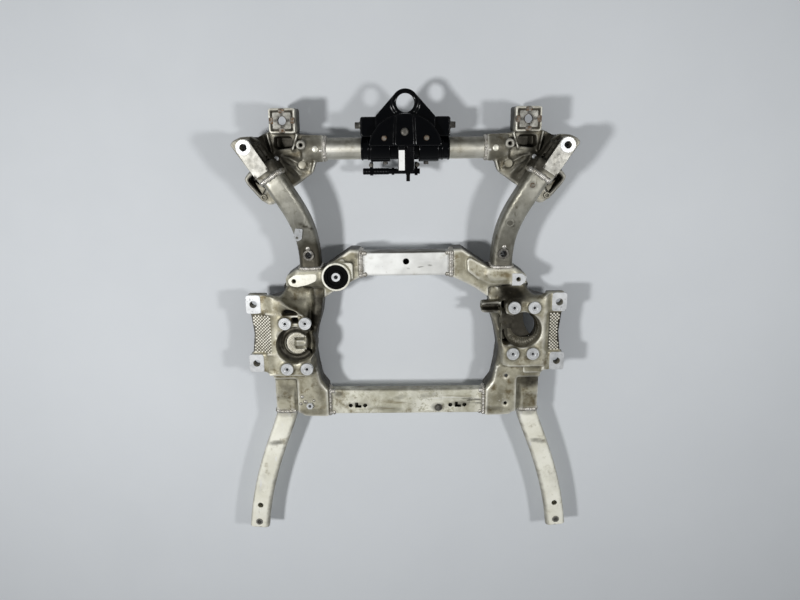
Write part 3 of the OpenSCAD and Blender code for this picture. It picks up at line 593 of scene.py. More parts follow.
# The hollow value darkens hollows with dirt and painted shade; the ridge value lightens ridges with
# polish and painted highlight.
def measure_hollows_and_ridges(mesh, wide_rounds=36, near_rounds=8, full_hollow=3.2):
    co, pairs, normal = points_of(mesh), edges_of(mesh), normals_of(mesh)
    wide, near = (((relax(co, pairs, rounds) - co) * normal).sum(axis=1) * 1000
                  for rounds in (wide_rounds, near_rounds))
    wide = relax(np.repeat(wide[:, None], 3, 1), pairs, 3)[:, 0]
    set_value(mesh, "hollow", np.clip(wide / full_hollow, 0, 1))
    set_value(mesh, "ridge", np.clip(-near, 0, 1))


def smear(grid, cells):
    for axis in (0, 1):
        step = np.arange(grid.shape[axis])
        weight = np.exp(-0.5 * ((step[:, None] - step[None, :]) / cells) ** 2)
        grid = weight @ grid if axis == 0 else grid @ weight
    return grid


# A point's depth below the mean height around it darkens deep places: painted shade.
def measure_depth(mesh, reach=22.0, least=4.0, full=30.0, cell=3.0):
    co = points_of(mesh) * 1000
    at = ((co[:, :2] - co[:, :2].min(axis=0)) / cell).astype(int)
    top = np.zeros(at.max(axis=0) + 1)
    np.maximum.at(top, (at[:, 0], at[:, 1]), co[:, 2])
    known = (top > 0).astype(float)
    around = smear(top, reach / cell) / np.maximum(smear(known, reach / cell), 1e-6)
    below = around[at[:, 0], at[:, 1]] - co[:, 2]
    set_value(mesh, "depth", np.clip((below - least) / full, 0, 1))


def cast_skin(name, solid, voxel, rounds, cutter=None):
    obj = merged_copy(name, solid)
    if cutter:
        cut = obj.modifiers.new("cut", "BOOLEAN")
        cut.operation = "DIFFERENCE"
        cut.solver = "EXACT"
        cut.object = cutter
    skin = obj.modifiers.new("skin", "REMESH")
    skin.mode = "VOXEL"
    skin.voxel_size = voxel
    bake(obj)
    if cutter:
        bpy.data.objects.remove(cutter)
    mesh = obj.data
    set_points(mesh, relax(points_of(mesh), edges_of(mesh), rounds))
    mesh.shade_smooth()
    return obj


print("cast skin ready")

# %% [markdown]
# A few narrow gaps are too fine for the remesh to keep as they are, so a cutter opens them
# first: plain blocks, and a part of a ring for the channel round the left seat.

# %% Cutters
RING_STEPS = 48


def block_cutter(name, *blocks, ring=None):
    bm = bmesh.new()
    if ring:
        x, y, inner, outer, z0, z1, start, end = ring
        turns = [math.radians(start + (end - start) * k / RING_STEPS)
                 for k in range(RING_STEPS + 1)]
        loops = [[bm.verts.new(((x + r * math.cos(t)) * MM, (y + r * math.sin(t)) * MM, z * MM))
                  for t in turns]
                 for r, z in ((inner, z0), (outer, z0), (outer, z1), (inner, z1))]
        for k in range(4):
            a, b = loops[k], loops[(k + 1) % 4]
            for j in range(RING_STEPS):
                bm.faces.new((a[j], a[j + 1], b[j + 1], b[j]))
        for j in (0, RING_STEPS):
            bm.faces.new([loop[j] for loop in loops])
        bmesh.ops.recalc_face_normals(bm, faces=bm.faces)
    for x0, x1, y0, y1, z0, z1 in blocks:
        middle = Vector(((x0 + x1) / 2, (y0 + y1) / 2, (z0 + z1) / 2))
        size = Vector((x1 - x0, y1 - y0, z1 - z0))
        for v in bmesh.ops.create_cube(bm, size=1)["verts"]:
            v.co = (middle + v.co * size) * MM
    return new_piece(name, mesh_from(bm, name))


SEAT_LEFT = (-304.5, -38)
TONGUE_CUT = block_cutter("tongue_cut", (-309, -303.5, -54, -22, 107, 130),
                          ring=(*SEAT_LEFT, 33.5, 53, 99, 160, 44, 278))
FINGER_CUT = block_cutter("finger_cut", (198, 256, 55.5, 68, 98, 132))
print("cutters:", TONGUE_CUT.name, FINGER_CUT.name)

# %% [markdown]
# Some places on the real castings flow much more than a sharp CAD edge with a small
# rounding: the bowl in front of each engine deck, the dark inner channel, the saddle at
# each arm foot. There the points are relaxed many more times, inside soft boxes on the
# plan, and only where the surface looks upwards. Ramps lower the outer edge of the decks.
# Dirt and painted shade are laid on with soft boxes and soft ovals on the plan.

# %% Soft boxes and ovals on the plan


def soft_step(value):
    value = np.clip(value, 0, 1)
    return value * value * (3 - 2 * value)


def soft_box(co, x0, x1, y0, y1, fade):
    x, y = co[:, 0] / MM, co[:, 1] / MM
    inside = np.minimum(np.minimum(x - x0, x1 - x), np.minimum(y - y0, y1 - y))
    return soft_step(inside / fade + 0.5)


def soft_oval(co, x, y, rx, ry, turn=0.0):
    dx, dy = co[:, 0] / MM - x, co[:, 1] / MM - y
    c, s = math.cos(math.radians(turn)), math.sin(math.radians(turn))
    far = np.hypot((dx * c + dy * s) / rx, (dy * c - dx * s) / ry)
    return soft_step(1.5 - far)


def flow(co, pairs, mesh, boxes, lowest):
    upper = soft_step(normals_of(mesh)[:, 2] * 2 + 1)
    upper = upper * soft_step((co[:, 2] / MM - lowest) / 8 + 0.5)
    for *box, rounds in boxes:
        weight = soft_box(co, *box) * upper
        co = relax(co, pairs, rounds, 0.5 * weight[:, None])
    return co


def mirror_boxes(boxes):
    return [(-x1, -x0, *rest) for x0, x1, *rest in boxes]


def mirror_ovals(ovals):
    return [(-x, y, rx, ry, -turn, amount) for x, y, rx, ry, turn, amount in ovals]


def ramp(co, mesh, side, y0, y1, x0, x1, z0, z1):
    out, y, z = side * co[:, 0] / MM, co[:, 1] / MM, co[:, 2] / MM
    target = z0 + (z1 - z0) * soft_step((out - x0) / (x1 - x0))
    weight = soft_step(np.minimum(y - y0, y1 - y) / 6 + 0.5)
    weight = weight * (out > x0 - 1) * (out < x1 + 2)
    weight = weight * (normals_of(mesh)[:, 2] > -0.15) * (np.abs(z - target) < 17)
    moved = co.copy()
    moved[:, 2] = (z + (target - z) * weight) * MM
    return moved


# The painted value darkens the finish: dirt in some places, painted shade in others.
def paint(mesh, ovals, boxes=(), start=0.0):
    co = points_of(mesh)
    grime_and_shade = np.zeros(len(co)) + start
    for *oval, amount in ovals:
        grime_and_shade = np.maximum(grime_and_shade, soft_oval(co, *oval) * amount)
    for *box, amount in boxes:
        grime_and_shade = np.maximum(grime_and_shade, soft_box(co, *box, 6) * amount)
    set_value(mesh, "grime_and_shade", grime_and_shade)


print("soft boxes ready")

# %% [markdown]
# Each casting now gets its skin. The two mid castings differ from each other, so each has
# its own list of soft places. The front castings are mirror images. A soft box is given by
# its sides, its fade and its rounds, an oval by its middle, radii, turn and amount, and a
# ramp by its sides and its two heights.

# %% Castings
FLOW_MID_LEFT = [(-280, -226, -104, 116, 10, 60), (-356, -256, 54, 122, 10, 110),
                 (-312, -196, 122, 172, 8, 14), (-412, -340, -124, 106, 8, 10),
                 (-372, -226, -252, -128, 8, 6)]
FLOW_MID_RIGHT = [(226, 276, -104, 44, 10, 60), (252, 374, 80, 124, 8, 80),
                  (196, 316, 122, 172, 8, 14), (340, 412, -124, 106, 8, 10),
                  (226, 372, -252, -128, 8, 6)]
FLOW_FRONT_RIGHT = [(236, 344, 392, 484, 8, 26), (340, 430, 340, 440, 8, 6)]
RAMPS = {-1: [(-62, 48, 352, 402, 140, 124), (52, 104, 352, 394, 140, 129.6),
              (-118, -66, 352, 394, 140, 129.6)],
         1: [(-62, 48, 372, 392, 140, 124.4), (52, 104, 372, 393, 140, 129.6),
             (-118, -66, 372, 393, 140, 129.6)],
         0: []}
# Dark places on the mid castings: dirt, and painted shade along edges and in pockets.
DIRT_AND_SHADE_MID_LEFT = [
    (-240, 0, 32, 140, 0, 0.85), (-300, 96, 56, 26, -20, 0.5), (-300, 62, 44, 12, -30, 0.4),
    (-262, 130, 50, 7, 8, 0.45), (-250, -160, 14, 60, 12, 0.3), (-262, -240, 44, 10, 0, 0.35),
    (-340, -178, 34, 20, 0, 0.35), (-316, -205, 5, 40, 0, 0.5), (-268, 118, 44, 8, 0, 0.6),
    (-301, -38, 25, 25, 0, 0.34), (-130, 208, 8, 9, 0, 0.45), (-144, 191, 7, 9, 30, 0.5),
    (-133, 169, 9, 6, 0, 0.45)]
DIRT_AND_SHADE_MID_RIGHT = [
    (246, -20, 22, 110, 0, 0.5), (284, 92, 44, 28, 0, 0.85), (300, 0, 50, 50, 0, 0.75),
    (232, 62, 34, 18, 0, 0.85), (340, 104, 44, 16, 0, 0.6), (348, -158, 36, 22, 0, 0.75),
    (318, -200, 6, 44, 0, 0.6), (244, -234, 30, 8, 0, 0.35), (262, 118, 40, 8, 0, 0.5)]
# Dark places on the front castings: dirt, and painted shade in the web under the arm head and along
# its grooves.
DIRT_AND_SHADE_FRONT_RIGHT = [
    (344, 470, 30, 70, -33, 0.85), (313, 506, 28, 22, 0, 0.9), (296, 440, 44, 44, 0, 0.5),
    (392, 392, 24, 40, 40, 0.5), (233, 486, 26, 40, 0, 0.4), (308, 468, 30, 3.4, 8, 0.8),
    (312, 452, 26, 3.4, 28, 0.8), (306, 434, 28, 3.6, 44, 0.8), (290, 480, 30, 3.0, -6, 0.6),
    (382, 505, 16, 5, 57, 1.0), (344, 440, 8, 6, 57, 1.0), (378, 416, 8, 5, 57, 1.0),
    (267, 496, 22, 22, 0, 0.55), (398, 384, 44, 24, 50, 0.55)]
# The skin under the hatch is darkened, so the valleys between the teeth show painted shade.
TEETH_SHADE_LEFT, TEETH_SHADE_RIGHT = [(-426, -370, -60, 47, 0.72)], [(389, 426, -60, 47, 0.92)]
BOSS_LEFT, BOSS_RIGHT = (-301, -38), (317, 1)
SEATS = [(cx + sx * 27, cy + sy * 65) for cx, cy in (BOSS_LEFT, BOSS_RIGHT)
         for sx in (-1, 1) for sy in (-1, 1)]
HALOS = [(x, y, 13.6, 13.6, 0, 0.75) for x, y in SEATS]
# The groove round each square pad is darkened with painted shade.
PAD_GROOVE_SHADE = [(280, 286.5, 530, 582, 1.0), (330.5, 337, 530, 582, 1.0),
              (280, 337, 530.5, 536.5, 1.0), (280, 337, 575.5, 581.5, 1.0)]
MID, FRONT = (84, WARM_CAST, 0.0024), (60, CAST, 0.0022)
CAST_ROUNDS = 4


def dressed_casting(cad, kind, boxes, ovals, painted, side=0, cutter=None):
    lowest, mat, voxel = kind
    obj = cast_skin(cad.replace("casting", "casting_skin"), cad, voxel, CAST_ROUNDS, cutter)
    mesh = obj.data
    co = points_of(mesh)
    for sides in RAMPS[side]:
        co = ramp(co, mesh, side, *sides)
    set_points(mesh, flow(co, edges_of(mesh), mesh, boxes, lowest))
    measure_hollows_and_ridges(mesh)
    measure_depth(mesh)
    paint(mesh, ovals, painted)
    return hand_over(obj, mat, "cast_aluminium", cad)


dressed_casting("mid_casting_left", MID, FLOW_MID_LEFT, DIRT_AND_SHADE_MID_LEFT + HALOS, TEETH_SHADE_LEFT,
                -1, TONGUE_CUT)
dressed_casting("mid_casting_right", MID, FLOW_MID_RIGHT, DIRT_AND_SHADE_MID_RIGHT + HALOS, TEETH_SHADE_RIGHT,
                1, FINGER_CUT)
dressed_casting("front_casting_right", FRONT, FLOW_FRONT_RIGHT, DIRT_AND_SHADE_FRONT_RIGHT, PAD_GROOVE_SHADE)
dressed_casting("front_casting_left", FRONT, mirror_boxes(FLOW_FRONT_RIGHT),
                mirror_ovals(DIRT_AND_SHADE_FRONT_RIGHT), mirror_boxes(PAD_GROOVE_SHADE))

# %% [markdown]
# The arms, legs, tube and beams keep their CAD shape. A merged copy is cut by a grid, so that dirt
# and shade can be painted on its points, and smooth shading hides the flat facets of the sweeps.
# The arms and legs get painted shade along their sides, the tube along its upper side, and the
# beams on their inner walls.

# %% Arms, legs and beams
# The arms are darker towards their feet and round the foot welds.
ARM_DARKER_PLACES = [(256, 196, 46, 44, 0, 0.55), (262, 250, 30, 40, 0, 0.38), (352, 388, 10, 40, 33, 0.25),
             (282, 300, 14, 60, 12, 0.2), (257.5, 212, 14, 14, 0, 0.85)]
GRIME_LEG = [(380, -348, 24, 7, -8, 0.55), (344, -256, 34, 10, 0, 0.4),
             (432, -480, 14, 40, 15, 0.12)]
# Marks on the arms; the left arm is also darker at its foot.
ARM_MARK_LEFT = [(-256, 289, 21, 3.2, -21, 0.9), (-270, 296, 9, 5, -40, 0.7),
                 (-256, 200, 50, 60, 0, 1.0)]
ARM_MARK_RIGHT = [(268, 295, 12, 12, 0, 0.5), (276, 286, 14, 2.4, 50, 0.7),
                  (318, 394, 10, 10, 0, 0.6)]
# Painted shade along the upper side of the tube.
TUBE_TOP_SHADE = [(0, 508, 400, 13, 0, 0.62)]
# Marks on the upper beam, and painted shade in a thin line along its far top edge.
UPPER_MARKS_AND_SHADE = [(-116, 184, 6, 40, 0, 0.4), (116, 184, 6, 40, 0, 0.4), (39, 175, 9, 1.4, 8, 0.7),
               (62, 178, 7, 1.4, 8, 0.6), (8, 172, 6, 1.2, 4, 0.6), (0, 215.5, 130, 2.4, 0, 0.9)]
# Stains on the lower beam, and painted shade in a thin line along its top edge.
LOWER_STAINS_AND_SHADE = [
    (185, -216, 34, 2.6, 4, 0.75), (196, -223, 26, 2.2, -3, 0.7), (172, -211, 20, 2.2, 2, 0.6),
    (150, -227, 28, 8, 0, 0.55), (90, -236, 18, 12, 0, 0.55), (-195, -194, 14, 8, 0, 0.5),
    (-140, -228, 34, 7, 0, 0.35), (0, -183, 240, 3, 0, 0.6), (-214, -218, 5, 40, 0, 0.55),
    (214, -218, 5, 40, 0, 0.55), (60, -200, 30, 8, 10, 0.3), (-60, -240, 50, 8, -4, 0.3),
    (-20, -206, 26, 7, 12, 0.25)]


def cut_grid(bm, step):
    for axis in (0, 1):
        along = [v.co[axis] for v in bm.verts]
        normal = Vector((1.0 - axis, float(axis), 0.0))
        for k in range(1, int((max(along) - min(along)) / step) + 1):
            bmesh.ops.bisect_plane(bm, geom=bm.verts[:] + bm.edges[:] + bm.faces[:], dist=1e-6,
                                   plane_co=normal * (min(along) + k * step), plane_no=normal)
    bmesh.ops.triangulate(bm, faces=bm.faces)


# Painted shade along both sides of an arm or leg, wider on the inner side.
def side_shade(mesh, inner, outer):
    x, y = np.abs(points_of(mesh)[:, 0] / MM), points_of(mesh)[:, 1] / MM
    row = np.round((y - y.min()) / 6).astype(int)
    low, high = np.full(row.max() + 1, np.inf), np.zeros(row.max() + 1)
    np.minimum.at(low, row, x)
    np.maximum.at(high, row, x)
    return np.maximum(soft_step(1 - (x - low[row]) / inner[1]) * inner[0],
                      soft_step(1 - (high[row] - x) / outer[1]) * outer[0])


def arm_side_shade(mesh):
    return side_shade(mesh, (0.5, 12), (0.2, 6))


def leg_side_shade(mesh):
    return side_shade(mesh, (0.62, 15), (0.5, 9))


# Painted shade on the inner walls of the hollow beams.
def inside_shade(mesh, wall=3 * MM):
    co = points_of(mesh)[:, 1:]
    return np.all((co > co.min(axis=0) + wall) & (co < co.max(axis=0) - wall), axis=1) * 1.0


def no_shade(mesh):
    return 0.0


for name, ovals, mat, step, first_shade in (
        ("front_arm_left", mirror_ovals(ARM_DARKER_PLACES) + ARM_MARK_LEFT, ARM_METAL, 0.007, arm_side_shade),
        ("front_arm_right", ARM_DARKER_PLACES + ARM_MARK_RIGHT, ARM_METAL, 0.007, arm_side_shade),
        ("rear_leg_left", mirror_ovals(GRIME_LEG), LEG_METAL, 0.006, leg_side_shade),
        ("rear_leg_right", GRIME_LEG, LEG_METAL, 0.006, leg_side_shade),
        ("front_tube", TUBE_TOP_SHADE, TUBE_METAL, 0.020, no_shade),
        ("upper_crossbeam", UPPER_MARKS_AND_SHADE, UPPER_METAL, 0.004, inside_shade),
        ("lower_crossbeam", LOWER_STAINS_AND_SHADE, LOWER_METAL, 0.005, inside_shade)):
    piece = merged_copy(name + "_smooth", name)
    cuts = bmesh.new()
    cuts.from_mesh(piece.data)
    cut_grid(cuts, step)
    cuts.to_mesh(piece.data)
    cuts.free()
    shade(piece.data, 32)
    paint(piece.data, ovals, (), first_shade(piece.data))
    hand_over(piece, mat, "tube_aluminium", name)

# %% [markdown]
# Milled faces keep sharp outlines, so they are pieces of their own: closed plates with a
# small chamfer that sit in the casting and stand a hair proud of it. A plate is drawn from
# an outline and its holes. Round things are turned from a profile of radius and height.

# %% Helpers for plates and turned pieces
PLATE_GRID = 0.003


def circle(x, y, radius, count=40):
    turns = [2 * math.pi * k / count for k in range(count)]
    return [(x + radius * math.cos(t), y + radius * math.sin(t)) for t in turns]


def block(x0, x1, y0, y1):
    return [(x0, y0), (x1, y0), (x1, y1), (x0, y1)]


def grown(loop, by):
    pts = np.array(loop, float)
    ahead, behind = np.roll(pts, -1, 0) - pts, pts - np.roll(pts, 1, 0)
    ahead /= np.linalg.norm(ahead, axis=1)[:, None]
    behind /= np.linalg.norm(behind, axis=1)[:, None]
    out = np.stack([ahead[:, 1] + behind[:, 1], -ahead[:, 0] - behind[:, 0]], axis=1)
    scale = 2 / np.maximum((out ** 2).sum(axis=1), 0.5)
    return pts + out * scale[:, None] * by


def turned_left(loop):
    pts = np.array(loop, float)
    nxt = np.roll(pts, -1, 0)
    area = (pts[:, 0] * nxt[:, 1] - nxt[:, 0] * pts[:, 1]).sum()
    return pts if area > 0 else pts[::-1]


def plate(bm, outline, holes, z0, z1, chamfer):
    loops = [(turned_left(outline), -1)] + [(turned_left(h), 1) for h in holes]
    top, bottom = [], []
    for loop, way in loops:
        rows = [[bm.verts.new((x * MM, y * MM, z * MM)) for x, y in pts]
                for pts, z in ((loop, z0), (loop, z1 - chamfer), (grown(loop, way * chamfer), z1))]
        count = len(loop)
        for low, high in zip(rows, rows[1:]):
            for k in range(count):
                n = (k + 1) % count
                quad = (low[k], low[n], high[n], high[k])
                bm.faces.new(quad if way < 0 else quad[::-1])
        for edge_list, row in ((bottom, rows[0]), (top, rows[2])):
            edge_list += [bm.edges.get((row[k], row[(k + 1) % count])) for k in range(count)]
    for edge_list, look in ((top, (0, 0, 1)), (bottom, (0, 0, -1))):
        bmesh.ops.triangle_fill(bm, use_beauty=True, use_dissolve=False, edges=edge_list,
                                normal=look)


def plates(name, parts, mat, slot="machined_metal", chamfer=0.5, ovals=()):
    bm = bmesh.new()
    for part in parts:
        plate(bm, *part, chamfer)
    if ovals:
        cut_grid(bm, PLATE_GRID)
    bmesh.ops.recalc_face_normals(bm, faces=bm.faces)
    mesh = mesh_from(bm, name)
    shade(mesh, 20)
    paint(mesh, ovals)
    return hand_over(new_piece(name, mesh), mat, slot)


def mirrored(loop):
    return [(-x, y) for x, y in loop]


def rounded(points, radius, steps=5):
    out = []
    for k, (x, y) in enumerate(points):
        p, a, b = Vector((x, y)), Vector(points[k - 1]), Vector(points[(k + 1) % len(points)])
        u, v = (a - p).normalized(), (b - p).normalized()
        reach = min(radius, (a - p).length * 0.45, (b - p).length * 0.45)
        for s in range(steps + 1):
            t = s / steps
            q = (p + u * reach) * (1 - t) ** 2 + p * (2 * t * (1 - t)) + (p + v * reach) * t ** 2
            out.append((q.x, q.y))
    return out


def lathe(bm, x, y, profile, count=48, start=0.0, sweep=360.0):
    whole = sweep >= 360
    rows = []
    for k in range(count if whole else count + 1):
        a = math.radians(start + sweep * k / count)
        rows.append([bm.verts.new(((x + r * math.cos(a)) * MM, (y + r * math.sin(a)) * MM, z * MM))
                     for r, z in profile])
    for k in range(count):
        here, there = rows[k], rows[(k + 1) % len(rows)]
        for j in range(len(profile)):
            n = (j + 1) % len(profile)
            bm.faces.new((here[j], there[j], there[n], here[n]))
    if not whole:
        bm.faces.new(rows[0])
        bm.faces.new(rows[-1][::-1])


def lathed(name, turns, mat, slot="machined_metal", angle=25, stands_for=(), place=None):
    bm = bmesh.new()
    for turn in turns:
        lathe(bm, *turn)
    bmesh.ops.remove_doubles(bm, verts=bm.verts, dist=1e-7)
    bmesh.ops.delete(bm, geom=[e for e in bm.edges if not e.link_faces], context="EDGES")
    if place:
        bmesh.ops.transform(bm, matrix=place, verts=bm.verts)
    bmesh.ops.recalc_face_normals(bm, faces=bm.faces)
    mesh = mesh_from(bm, name)
    shade(mesh, angle)
    return hand_over(new_piece(name, mesh), mat, slot, *stands_for)


print("plates and turned pieces ready")

# %% [markdown]
# The milled places are the eight boss seats, the four outer lugs, the sloping strip on each
# arm head with a round seat for the body bolt, the lugs at the arm feet, the top of the
# bush housing, and the square pads.

# %% Milled faces
SEAT = [(6.4, 141), (16.9, 141), (16.9, 149.9), (16.3, 150.5), (12.6, 150.5), (12.2, 150.1),
        (11.2, 150.1), (10.8, 150.5), (8.0, 150.5), (6.4, 149.4)]
lathed("boss_seats", [(x, y, SEAT) for x, y in SEATS], MACHINED)
LUG_HOLE = 9.6
LUGS = []
for side in (-1, 1):
    for y in (77, -91):
        edge = [(side * a, b) for a, b in block(394, 434, y - 25.5, y + 25.5)]
        LUGS.append((rounded(edge, 8), [circle(side * 414, y, LUG_HOLE)], 120, 130.4))
plates("lug_faces", LUGS, MACHINED)
TURN = math.atan2(95, 62)
TIP = Vector((400, 492.5))
ALONG = Vector((-math.cos(TURN), -math.sin(TURN)))
ACROSS = Vector((math.sin(TURN), -math.cos(TURN)))
STRIP_HALF, STRIP_END = 20.3, 79


def head_point(along, across):
    p = TIP + ALONG * along + ACROSS * across
    return (p.x, p.y)


STRIP = [head_point(-STRIP_HALF * math.cos(a), STRIP_HALF * math.sin(a))
         for a in np.linspace(-math.pi / 2, math.pi / 2, 17)]
STRIP += [head_point(STRIP_END, STRIP_HALF), head_point(STRIP_END, -STRIP_HALF)]
STRIP_HOLE = circle(*TIP, 8.8)
# The cut corners at the strip's end are darkened with painted shade, and the strip greys a little
# further along.
NOTCH_SHADE = [(*head_point(75, s * 18), 5, 3, 57, 1.0) for s in (-1, 1)]
STRIP_DARKENING_AND_SHADE = NOTCH_SHADE + mirror_ovals(NOTCH_SHADE) + [(*head_point(44, -2), 24, 11, 57, 0.28),
                                                (*head_point(62, 8), 14, 6, 57, 0.24)]
plates("head_faces", [(STRIP, [STRIP_HOLE], 180, 190.3),
                      (mirrored(STRIP), [mirrored(STRIP_HOLE)], 180, 190.3)],
       WORN_FACE, ovals=STRIP_DARKENING_AND_SHADE)
SPOT = [(8.9, 181), (18.6, 181), (18.6, 190.4), (18.2, 190.8), (9.5, 190.8), (8.9, 190.2)]
lathed("head_spot_faces", [(s * TIP.x, TIP.y, SPOT) for s in (-1, 1)], MACHINED)
FOOT_LEFT = rounded([(-239, 161.5), (-298, 159.5), (-317, 144), (-311.5, 130), (-294, 125),
                     (-262, 132), (-239, 142.5)], 9)
FOOT_RIGHT = [(283, 125), (306, 125), (317, 133.5), (322, 147), (309.5, 157.5), (283, 158.5)]
for word, x, outline, mat in (("left", -300, FOOT_LEFT, CREAM_FACE),
                              ("right", 300, FOOT_RIGHT, MACHINED)):
    plates("foot_lug_face_" + word, [(outline, [circle(x, 142, 6.1)], 126, 136.4)], mat)
BUSH = (-187, 153)
plates("bush_ring_face", [(circle(*BUSH, 38.2, 64), [circle(*BUSH, 33.2, 64)], 128, 140.5)],
       CREAM_FACE)
BLOCK_ARC = 37.6
BLOCK = [(BUSH[0] + BLOCK_ARC * math.cos(math.radians(a)),
          BUSH[1] + BLOCK_ARC * math.sin(math.radians(a))) for a in range(75, -10, -7)]
BLOCK += [(-143, 147), (-143, 184.5), (-148.5, 189.3)]
plates("bush_block_face", [(BLOCK, [], 126, 132.5)], CREAM_FACE)
PAD_X, PAD_Y = 308.5, 556
PADS = [(rounded(block(s * PAD_X - 23, s * PAD_X + 23, 536, 576), 4),
         [circle(s * PAD_X, PAD_Y, 12.2)], 144, 150.3) for s in (-1, 1)]
# The bore of each pad is darkened with painted shade, and four small dark spots lie between the
# bore and the clips.
PAD_SHADE_AND_SPOTS = [(s * PAD_X + dx, PAD_Y + dy, rx, ry, 0, 0.7) for s in (-1, 1)
            for dx, dy, rx, ry in ((0, 0, 13, 13), (0, 16, 5, 6), (0, -16, 5, 6), (16, 0, 6, 5),
                                   (-16, 0, 6, 5))]
plates("pad_faces", PADS, PAD_FACE, ovals=PAD_SHADE_AND_SPOTS)

# %% [markdown]
# The two engine seats have round channels in them. The left one runs round a hatched disc
# like a letter C. The right one is a ribbed band beside a hole, with a smooth funnel on its
# inner side. These shapes follow simple rules of angle and radius, so they are made point
# by point: a top surface, a lower copy of it, and a wall all round.

# %% Engine seat channels


def thick_sheet(name, rows, drop, least):
    bm = bmesh.new()
    top = [[bm.verts.new(Vector(p) * MM) for p in row] for row in rows]
    low = [[bm.verts.new((x * MM, y * MM, (z - drop) * MM)) for x, y, z in row] for row in rows]
    last_row, last = len(rows) - 1, len(rows[0]) - 1
    for i in range(last_row):
        for j in range(last):
            bm.faces.new((top[i][j], top[i + 1][j], top[i + 1][j + 1], top[i][j + 1]))
            bm.faces.new((low[i][j], low[i][j + 1], low[i + 1][j + 1], low[i + 1][j]))
    rim = ([(0, j) for j in range(last)] + [(i, last) for i in range(last_row)]
           + [(last_row, j) for j in range(last, 0, -1)] + [(i, 0) for i in range(last_row, 0, -1)])
    for (i, j), (m, n) in zip(rim, rim[1:] + rim[:1]):
        bm.faces.new((top[i][j], top[m][n], low[m][n], low[i][j]))
    bmesh.ops.recalc_face_normals(bm, faces=bm.faces)
    mesh = mesh_from(bm, name)
    shade(mesh, 40)
    # The sheet darkens towards the bottom of the recess: painted shade.
    set_value(mesh, "grime_and_shade", np.clip((126 - points_of(mesh)[:, 2] / MM) / 60, 0, 1) + least)
    return hand_over(new_piece(name, mesh), CAST, "cast_aluminium")


GROOVE = [(29.5, 96), (53.4, 96), (53.4, 128), (52.4, 119), (50.8, 113.6), (48.2, 109.6),
          (45, 107.4), (42, 106.8), (38.6, 107.4), (35.4, 109.6), (33.2, 113), (32, 115.6),
          (29.5, 115.6)]
groove = lathed("seat_groove_left", [(*SEAT_LEFT, GROOVE, 56, 42, 280)], CAST, "cast_aluminium", 40)
# The groove darkens towards its bottom: painted shade.
set_value(groove.data, "grime_and_shade",
          np.clip((124 - points_of(groove.data)[:, 2] / MM) / 17, 0, 0.78))
BAND_ANGLES = [-176, -150, -120, -90, -70, -50, -30, 0, 20, 60]
BAND_INNER = [30, 28, 26, 26, 28, 33, 38, 40, 40, 42]
BAND_OUTER, BAND_STEPS, ACROSS_STEPS, RIBS = 50.6, 140, 12, 40
band = []
for k in range(BAND_STEPS + 1):
    angle = -176 + 236 * k / BAND_STEPS
    turn = math.radians(angle)
    inner = np.interp(angle, BAND_ANGLES, BAND_INNER)
    ribbed = soft_step((angle + 150) / 12) * soft_step((22 - angle) / 12)
    row = []
    for j in range(ACROSS_STEPS + 1):
        u = j / ACROSS_STEPS
        r = inner + (BAND_OUTER - inner) * u
        z = 117 - 6.5 * math.sin(math.pi * u) + 9 * max(0, u - 0.86) / 0.14
        z += 1.3 * ribbed * math.cos(turn * RIBS) * math.sin(math.pi * min(1, u / 0.9))
        row.append((BOSS_RIGHT[0] + r * math.cos(turn), BOSS_RIGHT[1] + r * math.sin(turn), z))
    band.append(row)
thick_sheet("seat_band_right", band, 7, 0.25)
HOLE_EDGE = [(322, 38), (323, 19), (328, 2), (336, -14), (347, -27)]
FUNNEL_STEPS = 20
funnel = []
for k in range(FUNNEL_STEPS + 1):
    t = k / FUNNEL_STEPS
    ex, ey = (np.interp(t * 4, range(5), [p[axis] for p in HOLE_EDGE]) for axis in (0, 1))
    x, y = 251 + 6 * t, 62 - 92 * t
    funnel.append([(x + (ex - x) * s, y + (ey - y) * s, 97 + 24 * (1 - s) ** 1.7)
                   for s in (j / ACROSS_STEPS for j in range(ACROSS_STEPS + 1))])
thick_sheet("seat_funnel_right", funnel, 6, 0.46)

# %% [markdown]
# Small things sit on the castings and arms: plug buttons, ring bosses and webs in the low
# lugs, dark clips round the pads, and a dent and a ring mark on the right arm. A ray sent
# straight down finds the skin at a place on the plan, and the piece is turned on to the
# skin's normal.

# %% Small pieces on the skin
RAY_START = 0.3


def on_skin(skin, x, y):
    _, where, normal, _ = bpy.data.objects[skin].ray_cast(Vector((x * MM, y * MM, RAY_START)),
                                                          Vector((0, 0, -1)))
    return Matrix.Translation(where) @ normal.to_track_quat("Z", "Y").to_matrix().to_4x4()


def button(radius, rise):
    return [(0, -5), (radius, -5), (radius, rise * 0.3), (radius - 0.9, rise * 0.7),
            (radius * 0.55, rise), (0, rise)]


def ring_boss(radius, bore, rise):
    return [(bore, -8), (radius, -8), (radius, rise - 1), (radius - 1, rise), (bore + 1, rise),
            (bore, rise - 1)]


